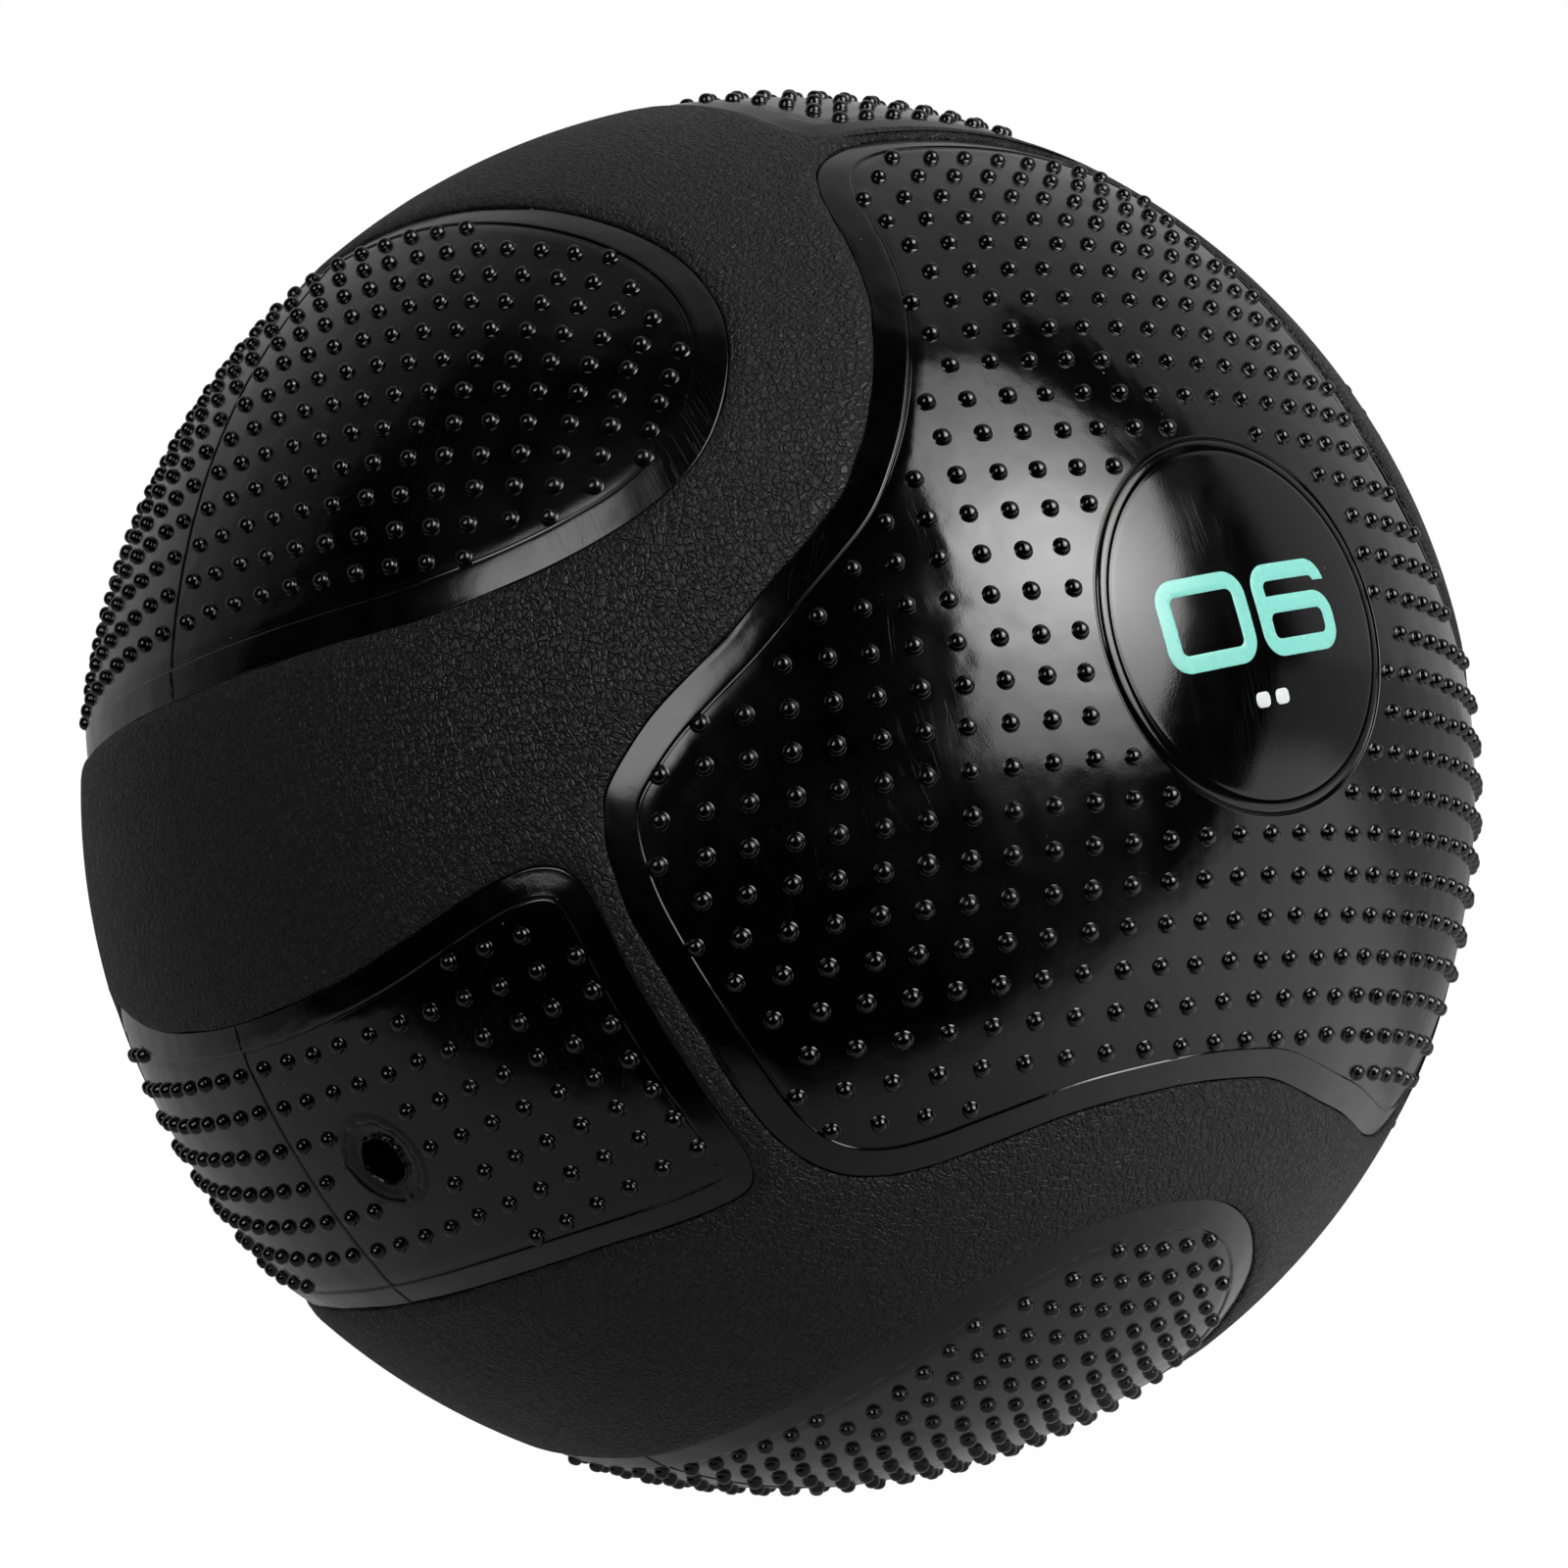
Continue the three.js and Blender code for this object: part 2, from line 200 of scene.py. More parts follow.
def far_from(points, ring, mm):
    """Points further than mm from every point of the ring."""
    keep = np.ones(len(points), bool)
    limit = math.cos(mm / BALL_R)
    for i in range(0, len(points), 4000):
        keep[i : i + 4000] = (points[i : i + 4000] @ ring.T).max(1) < limit
    return keep


def fill(rings, interior, axes, keep):
    """Triangles over rings and loose points, as (directions, triangles); keep(centroids) says which stay."""
    verts, edges, at = [], [], 0
    for r in rings:
        xy = flat(r, axes)
        verts.append(xy)
        n = len(xy)
        edges += [(at + k, at + (k + 1) % n) for k in range(n)]
        at += n
    verts.append(flat(interior, axes))
    xy = np.vstack(verts)
    out = delaunay_2d_cdt([Vector((float(a), float(b))) for a, b in xy], edges, [], 0, 1e-7)
    p = np.array([[v.x, v.y] for v in out[0]])
    tri = np.array([f for f in out[2] if len(f) == 3])
    mid = p[tri].mean(1)
    tri = tri[keep(mid)]
    d = unflat(p, axes)
    a, b, c = d[tri[:, 0]], d[tri[:, 1]], d[tri[:, 2]]
    wrong = (np.cross(b - a, c - a) * a).sum(1) < 0
    tri[wrong] = tri[wrong][:, ::-1]
    return d, tri


class Builder:
    """Collects points (mm) and faces for one piece, then makes it."""

    def __init__(self):
        self.v, self.f, self.count = [], [], 0

    def add(self, verts, faces):
        self.v.append(np.asarray(verts, float))
        self.f += [tuple(int(i) + self.count for i in f) for f in faces]
        self.count += len(verts)

    def strip(self, rows, closed=True):
        """Quads between rows of equal length, each inside the one before it on a counterclockwise ring."""
        n = len(rows[0])
        faces = []
        for k in range(len(rows) - 1):
            for i in range(n if closed else n - 1):
                j = (i + 1) % n
                faces.append((k * n + i, k * n + j, (k + 1) * n + j, (k + 1) * n + i))
        self.add(np.vstack(rows), faces)

    def make(self, name, material, weld=0.004):
        v = np.vstack(self.v)
        key = np.round(v / weld).astype(np.int64)
        _, first, back = np.unique(key, axis=0, return_index=True, return_inverse=True)
        back = back.reshape(-1)
        faces = []
        for f in self.f:
            g = []
            for i in f:
                k = int(back[i])
                if k not in g:
                    g.append(k)
            if len(g) > 2:
                faces.append(g)
        mesh = bpy.data.meshes.new(name)
        mesh.from_pydata((v[first] * 0.001).tolist(), [], faces)
        mesh.validate(verbose=False)
        mesh.update()
        mesh.polygons.foreach_set("use_smooth", [True] * len(mesh.polygons))
        o = bpy.data.objects.new(name, mesh)
        bpy.context.scene.collection.objects.link(o)
        mesh.materials.append(material)
        return o


def mirrored(o_builder):
    """The same geometry on the rear half."""
    b = Builder()
    b.v = [v * np.array([1, -1, 1]) for v in o_builder.v]
    b.f = [f[::-1] for f in o_builder.f]
    b.count = o_builder.count
    return b


def ragged(n, size, seed, wave=4):
    """A closed run of n soft random numbers about zero."""
    r = np.random.default_rng(seed).normal(0, 1, n)
    k = np.exp(-0.5 * (np.arange(-wave * 2, wave * 2 + 1) / (wave / 2)) ** 2)
    out = np.convolve(np.concatenate([r[-wave * 2 :], r, r[: wave * 2]]), k / k.sum(), "valid")
    return out / out.std() * size


# ---- Node materials ------------------------------------------------------------------------------
def material(name):
    m = bpy.data.materials.new(name)
    m.use_nodes = True
    nt = m.node_tree
    nt.nodes.clear()
    out = nt.nodes.new("ShaderNodeOutputMaterial")
    bsdf = nt.nodes.new("ShaderNodeBsdfPrincipled")
    nt.links.new(bsdf.outputs[0], out.inputs[0])
    return m, nt, bsdf


class Nodes:
    """Short names for the nodes that the materials are made of."""

    def __init__(self, nt):
        self.nt = nt
        self.coord = nt.nodes.new("ShaderNodeTexCoord").outputs["Object"]

    def put(self, node, key, value):
        if isinstance(value, bpy.types.NodeSocket):
            self.nt.links.new(value, node.inputs[key])
        else:
            node.inputs[key].default_value = value

    def noise(self, scale, detail=2.0, rough=0.5, distortion=0.0, vector=None):
        n = self.nt.nodes.new("ShaderNodeTexNoise")
        self.put(n, "Vector", vector or self.coord)
        self.put(n, "Scale", scale)
        self.put(n, "Detail", detail)
        self.put(n, "Roughness", rough)
        self.put(n, "Distortion", distortion)
        return n.outputs["Fac"]

    def voronoi(self, scale, feature="F1", vector=None, out="Distance", randomness=1.0):
        n = self.nt.nodes.new("ShaderNodeTexVoronoi")
        n.feature = feature
        self.put(n, "Vector", vector or self.coord)
        self.put(n, "Scale", scale)
        self.put(n, "Randomness", randomness)
        return n.outputs[out]

    def math(self, op, a, b=0.0, c=0.0, clamp=False):
        n = self.nt.nodes.new("ShaderNodeMath")
        n.operation = op
        n.use_clamp = clamp
        for i, x in enumerate((a, b, c)):
            self.put(n, i, x)
        return n.outputs[0]

    def ramp(self, x, x0, x1, y0=0.0, y1=1.0, smooth=True):
        n = self.nt.nodes.new("ShaderNodeMapRange")
        n.interpolation_type = "SMOOTHSTEP" if smooth else "LINEAR"
        for k, val in (("Value", x), ("From Min", x0), ("From Max", x1), ("To Min", y0), ("To Max", y1)):
            self.put(n, k, val)
        return n.outputs[0]

    def mix(self, f, a, b):
        n = self.nt.nodes.new("ShaderNodeMix")
        n.data_type = "RGBA"
        self.put(n, 0, f)
        self.put(n, 6, a)
        self.put(n, 7, b)
        return n.outputs[2]

    def warp(self, scale, amount):
        """The object coordinate, pushed about by noise."""
        n = self.nt.nodes.new("ShaderNodeTexNoise")
        self.put(n, "Vector", self.coord)
        self.put(n, "Scale", scale)
        s = self.nt.nodes.new("ShaderNodeVectorMath")
        s.operation = "MULTIPLY_ADD"
        self.nt.links.new(n.outputs["Color"], s.inputs[0])
        s.inputs[1].default_value = (amount,) * 3
        self.nt.links.new(self.coord, s.inputs[2])
        return s.outputs[0]

    def stretch(self, sx, sy, sz, rx=0.0, ry=0.0, rz=0.0):
        n = self.nt.nodes.new("ShaderNodeMapping")
        self.nt.links.new(self.coord, n.inputs["Vector"])
        n.inputs["Rotation"].default_value = (rx, ry, rz)
        n.inputs["Scale"].default_value = (sx, sy, sz)
        return n.outputs[0]

    def bump(self, height, distance, strength=1.0, normal=None):
        n = self.nt.nodes.new("ShaderNodeBump")
        self.put(n, "Height", height)
        n.inputs["Distance"].default_value = distance
        n.inputs["Strength"].default_value = strength
        if normal is not None:
            self.nt.links.new(normal, n.inputs["Normal"])
        return n.outputs[0]


def grey(x, warm=0.0):
    return (x * (1 + warm), x, x * (1 - warm), 1.0)


def grain_rubber():
    m, nt, b = material("leather_grain_rubber")
    n = Nodes(nt)
    warped = n.warp(480.0, 0.0010)
    worm = n.noise(800.0, 1.5, 0.5, 0.35, warped)
    valley = n.ramp(n.math("ABSOLUTE", n.math("SUBTRACT", worm, 0.5)), 0.0, 0.085)
    pebble = n.noise(1450.0, 1.0, 0.5, 0.2, warped)
    cells = n.ramp(n.voronoi(700.0, "DISTANCE_TO_EDGE", warped), 0.0, 0.16)
    height = n.math("ADD", n.math("MULTIPLY", valley, 0.40), n.math("MULTIPLY", pebble, 0.50))
    height = n.math("ADD", height, n.math("MULTIPLY", cells, 0.55))
    # painted shade: from here the colour mask also darkens the grooves along the cells' edges, where the height dips
    valley = n.math("MULTIPLY", valley, n.ramp(cells, 0.0, 1.0, 0.45, 1.0))
    fine = n.noise(5200.0, 2.0, 0.6)
    height = n.math("ADD", height, n.math("MULTIPLY", fine, 0.12))
    normal = n.bump(height, 0.00046, 1.0)
    soft = n.noise(26.0, 3.0, 0.55)
    wear = n.ramp(soft, 0.35, 0.7)
    specks = n.ramp(n.voronoi(190.0, vector=n.warp(300.0, 0.002)), 0.030, 0.018)
    rare = n.ramp(n.noise(95.0, 1.0), 0.56, 0.62)
    specks = n.math("MULTIPLY", specks, rare)
    # painted shade: the grain's valleys are much darker in colour than its pebbles, on top of the bump that shapes
    # them
    base = n.mix(valley, grey(0.0008), grey(0.0070))
    base = n.mix(n.math("MULTIPLY", wear, 0.30), base, grey(0.0095))
    base = n.mix(n.math("MULTIPLY", specks, 0.5), base, grey(0.2))
    n.put(b, "Base Color", base)
    rough = n.math("ADD", n.ramp(valley, 0, 1, 0.62, 0.5), n.math("MULTIPLY", n.math("SUBTRACT", soft, 0.5), 0.18))
    n.put(b, "Roughness", rough)
    b.inputs["Specular IOR Level"].default_value = 0.34
    nt.links.new(normal, b.inputs["Normal"])
    return m


def gloss_rubber(name, rough0=0.10, smudge=0.13, wave=0.00016, scratch=0.4, base0=0.0003, dust=0.6, spec=0.5):
    m, nt, b = material(name)
    n = Nodes(nt)
    broad = n.noise(17.0, 3.0, 0.6, 0.5)
    blotch = n.noise(58.0, 4.0, 0.62, 0.8)
    film = n.ramp(n.math("ADD", n.math("MULTIPLY", broad, 0.6), n.math("MULTIPLY", blotch, 0.4)), 0.40, 0.66)
    wipe = n.noise(120.0, 3.0, 0.6, 0.4, n.stretch(1.0, 0.35, 0.12, 0.5, 0.3, 0.2))
    film = n.math("ADD", film, n.math("MULTIPLY", n.ramp(wipe, 0.5, 0.75), 0.35), clamp=True)
    lines = n.noise(900.0, 2.0, 0.5, 0.0, n.stretch(1.0, 0.06, 0.04, 0.6, 0.2, 0.9))
    hair = n.ramp(n.math("ABSOLUTE", n.math("SUBTRACT", lines, 0.5)), 0.006, 0.0)
    hair = n.math("MULTIPLY", hair, n.ramp(n.noise(42.0, 1.0), 0.55, 0.66))
    lines2 = n.noise(760.0, 2.0, 0.5, 0.0, n.stretch(0.05, 0.8, 0.07, 0.1, 0.7, 0.35))
    hair2 = n.ramp(n.math("ABSOLUTE", n.math("SUBTRACT", lines2, 0.5)), 0.005, 0.0)
    hair2 = n.math("MULTIPLY", hair2, n.ramp(n.noise(36.0, 1.0, 0.5, 0.0, n.stretch(1.3, 1, 1)), 0.56, 0.68))
    hairs = n.math("MULTIPLY", n.math("ADD", hair, hair2, clamp=True), scratch)
    fleck = n.ramp(n.voronoi(260.0, vector=n.warp(310.0, 0.003)), 0.045, 0.025)
    fleck = n.math("MULTIPLY", fleck, n.ramp(n.noise(130.0, 1.0), 0.58, 0.63))
    fleck = n.math("MULTIPLY", fleck, dust)
    base = n.mix(film, grey(base0), grey(base0 + 0.0009))
    base = n.mix(n.math("MULTIPLY", hairs, 0.25), base, grey(0.05))
    base = n.mix(fleck, base, grey(0.28))
    n.put(b, "Base Color", base)
    fine = n.noise(2600.0, 2.0, 0.6)
    rough = n.math("ADD", rough0, n.math("MULTIPLY", film, smudge))
    rough = n.math("ADD", rough, n.math("MULTIPLY", hairs, 0.22))
    rough = n.math("ADD", rough, n.math("MULTIPLY", fleck, 0.4), clamp=True)
    n.put(b, "Roughness", rough)
    b.inputs["Specular IOR Level"].default_value = spec
    swell = n.noise(48.0, 2.0, 0.5, 0.3)
    normal = n.bump(swell, wave * 6, 0.5)
    normal = n.bump(n.noise(135.0, 2.0, 0.55), wave * 0.75, 0.6, normal)
    normal = n.bump(fine, 0.000012, 0.6, normal)
    normal = n.bump(n.math("MULTIPLY", hairs, -1.0), 0.00002, 0.6, normal)
    nt.links.new(normal, b.inputs["Normal"])
    return m


def inlay(name, colour, dark):
    m, nt, b = material(name)
    n = Nodes(nt)
    tone = n.noise(140.0, 3.0, 0.55)
    base = n.mix(n.ramp(tone, 0.35, 0.7), colour, dark)
    pits = n.ramp(n.noise(2100.0, 2.0, 0.5), 0.66, 0.76)
    base = n.mix(n.math("MULTIPLY", pits, 0.35), base, (dark[0] * 0.7, dark[1] * 0.7, dark[2] * 0.7, 1))
    n.put(b, "Base Color", base)
    n.put(b, "Roughness", n.ramp(tone, 0.3, 0.7, 0.2, 0.34))
    b.inputs["Specular IOR Level"].default_value = 0.5
    nt.links.new(n.bump(n.noise(900.0, 2.0), 0.00002, 0.5), b.inputs["Normal"])
    return m


def inner_rubber(name, value, rough, grain, warm=0.0):
    m, nt, b = material(name)
    n = Nodes(nt)
    crumbs = n.voronoi(grain, vector=n.warp(grain * 0.6, 0.0008))
    tone = n.noise(grain * 0.14, 3.0, 0.6)
    base = n.mix(n.ramp(tone, 0.3, 0.7), grey(value, warm), grey(value * 1.7, warm))
    base = n.mix(n.ramp(crumbs, 0.5, 0.1, 0.0, 0.4), base, grey(value * 2.6, warm))
    n.put(b, "Base Color", base)
    n.put(b, "Roughness", n.ramp(tone, 0.3, 0.7, rough - 0.08, rough + 0.08))
    nt.links.new(n.bump(n.math("ADD", crumbs, n.noise(grain * 3, 2.0)), 0.00012, 0.7), b.inputs["Normal"])
    return m


def winding():
    m, nt, b = material("wound_nylon_thread")
    n = Nodes(nt)
    fields = []
    for k, (rx, ry, rz) in enumerate(((0.2, 0.1, 0.0), (1.2, 0.4, 0.7), (0.5, 1.3, 1.9))):
        w = nt.nodes.new("ShaderNodeTexWave")
        w.wave_type, w.bands_direction = "BANDS", "X"
        nt.links.new(n.stretch(1, 1, 1, rx, ry, rz), w.inputs["Vector"])
        w.inputs["Scale"].default_value = 150.0 + 12 * k
        w.inputs["Distortion"].default_value = 0.6
        fields.append(w.outputs["Fac"])
    top = n.math("MAXIMUM", fields[0], n.math("MAXIMUM", fields[1], fields[2]))
    base = n.mix(top, (0.32, 0.30, 0.24, 1), (0.66, 0.63, 0.54, 1))
    n.put(b, "Base Color", base)
    n.put(b, "Roughness", n.ramp(top, 0, 1, 0.85, 0.6))
    nt.links.new(n.bump(top, 0.0004, 0.8), b.inputs["Normal"])
    return m


GRAIN = grain_rubber()
GLOSS = gloss_rubber("gloss_rubber")
DISC = gloss_rubber("disc_rubber", 0.08, 0.10, 0.000025, 0.22, 0.0004, 0.8)
COLLAR = gloss_rubber("collar_rubber", 0.22, 0.2, 0.0002, 0.2, 0.0004, 0.3, 0.36)
TEAL = inlay("teal_inlay", (0.197, 0.545, 0.475, 1), (0.186, 0.520, 0.452, 1))
WHITE = inlay("white_inlay", (0.60, 0.62, 0.61, 1), (0.50, 0.52, 0.51, 1))
WALL = inner_rubber("heavy_wall_rubber", 0.010, 0.82, 420.0)
BLADDER = inner_rubber("butyl_rubber", 0.016, 0.6, 240.0)
BOOT = inner_rubber("valve_boot_rubber", 0.008, 0.6, 900.0)
CORE = inner_rubber("valve_core_rubber", 0.011, 0.5, 1200.0)
WINDING = winding()


def finish_piece(o, slot, *nodes):
    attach(o, "ball")
    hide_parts(*nodes)
    return o


# ---- Outlines and their rings --------------------------------------------------------------------
STEP = 1.0
SIDE_W = {"wide": 5.5, "narrow": 4.7, "pole": 5.4}
OUTLINES = {"pole_front": (prepared(pole_outline(), STEP), "pole")}
for k in range(3):
    OUTLINES[f"wide_{k}"] = (prepared(side_outline(WIDE, 120 * k), STEP), "wide")
    OUTLINES[f"narrow_{k}"] = (prepared(side_outline(NARROW, 120 * k), STEP), "narrow")


def channel_profile(w):
    """(distance inside the web's foot, radius) across the channel, its crease, the lip and onto the field."""
    c, f = CHANNEL_R, FIELD_R
    return [
        (0.0, c - 0.02), (0.35, c + 0.04), (w * 0.25, c + 0.17), (w * 0.5, c + 0.36), (w * 0.72, c + 0.53),
        (w * 0.86, c + 0.62), (w - 0.36, c + 0.66), (w - 0.16, c + 0.65), (w - 0.06, c + 0.42), (w + 0.08, c + 0.36),
        (w + 0.20, c + 0.48), (w + 0.36, f - 0.11), (w + 0.6, f - 0.075), (w + 1.1, f - 0.02), (w + 1.8, f + 0.03),
        (w + 2.6, f + 0.03), (w + 3.4, f),
    ]


# ---- Pip lattices --------------------------------------------------------------------------------
def square_lattice(a1, p1, o1, a2, p2, o2, side):
    """Directions whose distances from two planes through the centre step evenly."""
    a1, a2 = unit(np.array(a1, float)), unit(np.array(a2, float))
    n = unit(np.cross(a1, a2))
    if n @ side < 0:
        n = -n
    g = a1 @ a2
    i, j = np.meshgrid(np.arange(-20, 21), np.arange(-20, 21))
    c1 = np.sin((o1 + i * p1) / BALL_R).ravel()
    c2 = np.sin((o2 + j * p2) / BALL_R).ravel()
    al, be = (c1 - g * c2) / (1 - g * g), (c2 - g * c1) / (1 - g * g)
    flat_part = al[:, None] * a1 + be[:, None] * a2
    left = 1 - (flat_part**2).sum(1)
    ok = left > 0
    return flat_part[ok] + np.sqrt(left[ok])[:, None] * n


def side_lattice(centre_phi, pitch_phi, first_theta):
    """Rows across the ball's axis and columns towards its poles, mirrored where the halves meet."""
    phi = centre_phi + pitch_phi * np.arange(-8, 9)
    front = [first_theta - 3.16 * k for k in range(16)]
    seam = 2 * (90 + math.degrees(PARTING_Y / BALL_R))
    theta = np.array(front + [seam - t for t in front])
    p, t = np.meshgrid(phi, theta)
    return direction(p.ravel(), t.ravel())


PIP_PROFILE = np.array([
    (1.80, -0.24), (1.52, 0.00), (1.38, 0.09), (1.31, 0.24), (1.28, 0.45), (1.17, 0.76), (0.95, 1.04),
    (0.66, 1.23), (0.34, 1.32),
])


def add_pips(b, centres, base_radius):
    """A moulded dome at each direction; base_radius(directions) is the surface it stands on."""
    if not len(centres):
        return
    segs = 14
    R = base_radius(centres)
    n = len(centres)
    size = 1 + rng.normal(0, 0.022, n)
    tall = 1 + rng.normal(0, 0.03, n)
    spin = rng.uniform(0, 2 * math.pi, n)
    ref = np.where(np.abs(centres[:, 2:3]) < 0.9, np.array([[0.0, 0.0, 1.0]]), np.array([[1.0, 0.0, 0.0]]))
    u = unit(np.cross(ref, centres))
    v = np.cross(centres, u)
    a = np.arange(segs) * 2 * math.pi / segs
    rows = len(PIP_PROFILE)
    per = rows * segs + 1
    verts = np.zeros((n, per, 3))
    for k, (r, h) in enumerate(PIP_PROFILE):
        ang = a[None] + spin[:, None]
        off = (r * size)[:, None, None] * (np.cos(ang)[..., None] * u[:, None] + np.sin(ang)[..., None] * v[:, None])
        verts[:, k * segs : (k + 1) * segs] = centres[:, None] * (R + h * tall)[:, None, None] + off
    verts[:, -1] = centres * (R + PIP_H * tall)[:, None]
    faces = []
    for k in range(rows - 1):
        for i in range(segs):
            j = (i + 1) % segs
            faces.append((k * segs + i, k * segs + j, (k + 1) * segs + j, (k + 1) * segs + i))
    for i in range(segs):
        faces.append(((rows - 1) * segs + i, (rows - 1) * segs + (i + 1) % segs, per - 1))
    all_faces = []
    for q in range(n):
        all_faces += [tuple(i + q * per for i in f) for f in faces]
    b.add(verts.reshape(-1, 3), all_faces)


disc_front = direction(DISC_TURN, DISC_TILT)
valve_axis = direction(VALVE_PHI, VALVE_THETA)
LOOSE = fibonacci(3.1)
LOOSE_WEB = fibonacci(2.6)


def circle_on_ball(axis, radius_mm, n):
    c, u, v = plane_of(axis)
    a = np.arange(n) * 2 * math.pi / n
    r = radius_mm / BALL_R
    return unit(math.sqrt(1 - r * r) * c + r * (np.cos(a)[:, None] * u + np.sin(a)[:, None] * v))


def seam_ribbon(b, phi0, phi1, radius_at, rise=0.10, half=0.24, dip=0.10):
    """The fine mould line on the plane where the halves meet, from phi0 to phi1 degrees."""
    n = max(8, int((phi1 - phi0) * 2.1 / 0.8))
    phi = np.linspace(phi0, phi1, n)
    th0 = 90 + math.degrees(PARTING_Y / BALL_R)
    wob = np.random.default_rng(int(phi0 * 10)).normal(0, 0.05, n)
    wob = np.convolve(wob, [0.25, 0.5, 0.25], "same")
    rows = []
    for off, h in ((-2.4, -0.02), (-1.2, -0.3 * dip), (-0.6, -dip), (-0.2, rise), (0.2, rise), (0.6, -dip), (1.2, -0.3 * dip), (2.4, -0.02)):
        d = direction(phi, th0 + np.degrees((off * half + wob) / BALL_R))
        rows.append(d * (radius_at(phi) + h + 0.035)[:, None])
    b.strip(rows[::-1], closed=False)


def panel(name, key, kind, lattice, cad_nodes, hole=None, hole_radius=0.0, also=None):
    """The smooth channel, the pip field and its pips, as one moulded skin."""
    outline, _ = OUTLINES[key]
    w = SIDE_W[kind]
    profile = channel_profile(w)
    inner = march(outline, [s for s, _ in profile if s > 0], 0.55 if kind == "narrow" else 0.2)
    inner[0.0] = outline
    b = Builder()
    n = len(outline)
    jig = {0.0: 0.03, 0.35: 0.02}
    rows = [outline * (CHANNEL_R - 1.6)]
    for s, radius in profile:
        rows.append(inner[s] * (radius + ragged(n, jig.get(s, 0.008), 11 + len(rows), 8))[:, None])
    # the last row is the field's own edge, so it is exact
    last = inner[profile[-1][0]]
    rows[-1] = last * FIELD_R
    b.strip(rows)
    axes = plane_of(outline.mean(0))
    edge = flat(last, axes)
    rings, polys = [last], [edge]
    loose = LOOSE[(LOOSE @ axes[0]) > -0.2]
    loose = loose[inside(flat(loose, axes), edge)]
    loose = loose[far_from(loose, last, 1.9)]
    if hole is not None:
        count = int(2 * math.pi * hole_radius / 1.0)
        ring = circle_on_ball(hole, hole_radius, count)
        rings.append(ring)
        polys.append(flat(ring, axes))
        loose = loose[(loose @ hole) < math.cos((hole_radius + 1.6) / BALL_R)]
    d, tri = fill(
        rings, loose, axes,
        lambda mid: inside(mid, polys[0]) & (~inside(mid, polys[1]) if len(polys) > 1 else True),
    )
    b.add(d * FIELD_R, tri)
    # pips
    spots = lattice[(lattice @ axes[0]) > -0.2]
    clear = w + {"pole": 0.55, "wide": 0.95, "narrow": 1.2}[kind]
    limit = march(outline, [clear], 0.55 if kind == "narrow" else 0.2)[clear]
    spots = spots[inside(flat(spots, axes), flat(limit, axes))]
    if hole is not None:
        spots = spots[(spots @ hole) < math.cos((hole_radius + 2.1) / BALL_R)]
    spots = unit(spots + rng.normal(0, 0.10 / BALL_R, spots.shape))
    add_pips(b, spots, lambda c: np.full(len(c), FIELD_R))
    return b, spots, rows, inner, profile


def across(kind, phi_mid, half):
    """Radius along the mould line of a side panel, for an array of phi."""
    w = SIDE_W[kind]
    s_pts, r_pts = zip(*channel_profile(w))

    def at(phi):
        s = (half - np.abs(phi - phi_mid)) * math.pi / 180 * BALL_R
        return np.interp(s, s_pts, r_pts)

    return at


pieces = {}
# the pole panels: a square lattice a little askew to the numerals
pole_pips = square_lattice((0.992, 0.027, -0.124), 6.650, 3.66, (0.131, 0.024, 0.991), 6.543, 5.60, np.array([0, -1.0, 0]))
b, spots, *_ = panel("pip_panel_front", "pole_front", "pole", pole_pips, None, disc_front, DISC_RADIUS + 0.55)
rear = mirrored(b)
finish_piece(b.make("pip_field_front", GLOSS), "gloss_rubber", "pip_panel_front")
finish_piece(rear.make("pip_field_rear", GLOSS), "gloss_rubber", "pip_panel_rear")

for k in range(3):
    mid = 141.7 + 120 * k
    lat = side_lattice(142.05 + 120 * k, 3.17, 89.75)
    b, *_ = panel(f"wide_{k}", f"wide_{k}", "wide", lat, None)
    seam_ribbon(b, mid - 22.2, mid + 22.2, across("wide", mid, 22.2))
    finish_piece(b.make(f"pip_field_wide_{k + 1}", GLOSS), "gloss_rubber", f"pip_panel_wide_{k + 1}")

for k in range(3):
    mid = 82.2 + 120 * k
    lat = side_lattice(202.95 - 120 + 120 * k, 3.30, 89.95)
    valve = k == 1
    b, *_ = panel(
        f"narrow_{k}", f"narrow_{k}", "narrow", lat, None,
        valve_axis if valve else None, COLLAR_R + 0.25 if valve else 0.0,
    )
    seam_ribbon(b, mid - 13.0, mid + 13.0, across("narrow", mid, 13.0))
    node = "pip_panel_narrow_valve" if valve else f"pip_panel_narrow_{1 if k == 0 else 2}"
    shown = "pip_field_narrow_valve" if valve else f"pip_field_narrow_{1 if k == 0 else 2}"
    finish_piece(b.make(shown, GLOSS), "gloss_rubber", node)


# ---- The grip web --------------------------------------------------------------------------------
FLANK = [(-3.3, BALL_R), (-2.9, BALL_R - 0.015), (-2.3, BALL_R - 0.07), (-1.6, BALL_R - 0.19), (-0.95, BALL_R - 0.36),
         (-0.45, BALL_R - 0.53), (-0.2, BALL_R - 0.66), (-0.08, BALL_R - 0.84), (-0.03, CHANNEL_R - 0.25)]


def flank_rows(ring, seed):
    """The web's shoulder round one window, from its flat top down to the channel."""
    outer = march(ring, [s for s, _ in FLANK], ease=0.05)
    n = len(ring)
    wander = ragged(n, 0.085, seed, 4)
    rows = []
    for s, radius in FLANK:
        p = outer[s]
        share = max(0.0, 1 - abs(s) / 1.0)
        tangent = np.roll(p, -1, 0) - np.roll(p, 1, 0)
        inward = unit(np.cross(p, tangent))
        p = unit(p + inward * (wander * share / BALL_R)[:, None])
        lift = ragged(n, 0.02, seed + 50 + int(-s * 10), 3) * (0 if s == FLANK[0][0] else 1)
        rows.append(p * (radius + lift)[:, None])
    rows[0] = outer[FLANK[0][0]] * BALL_R
    rows.append(ring * (CHANNEL_R - 1.6))
    return rows, outer[FLANK[0][0]]


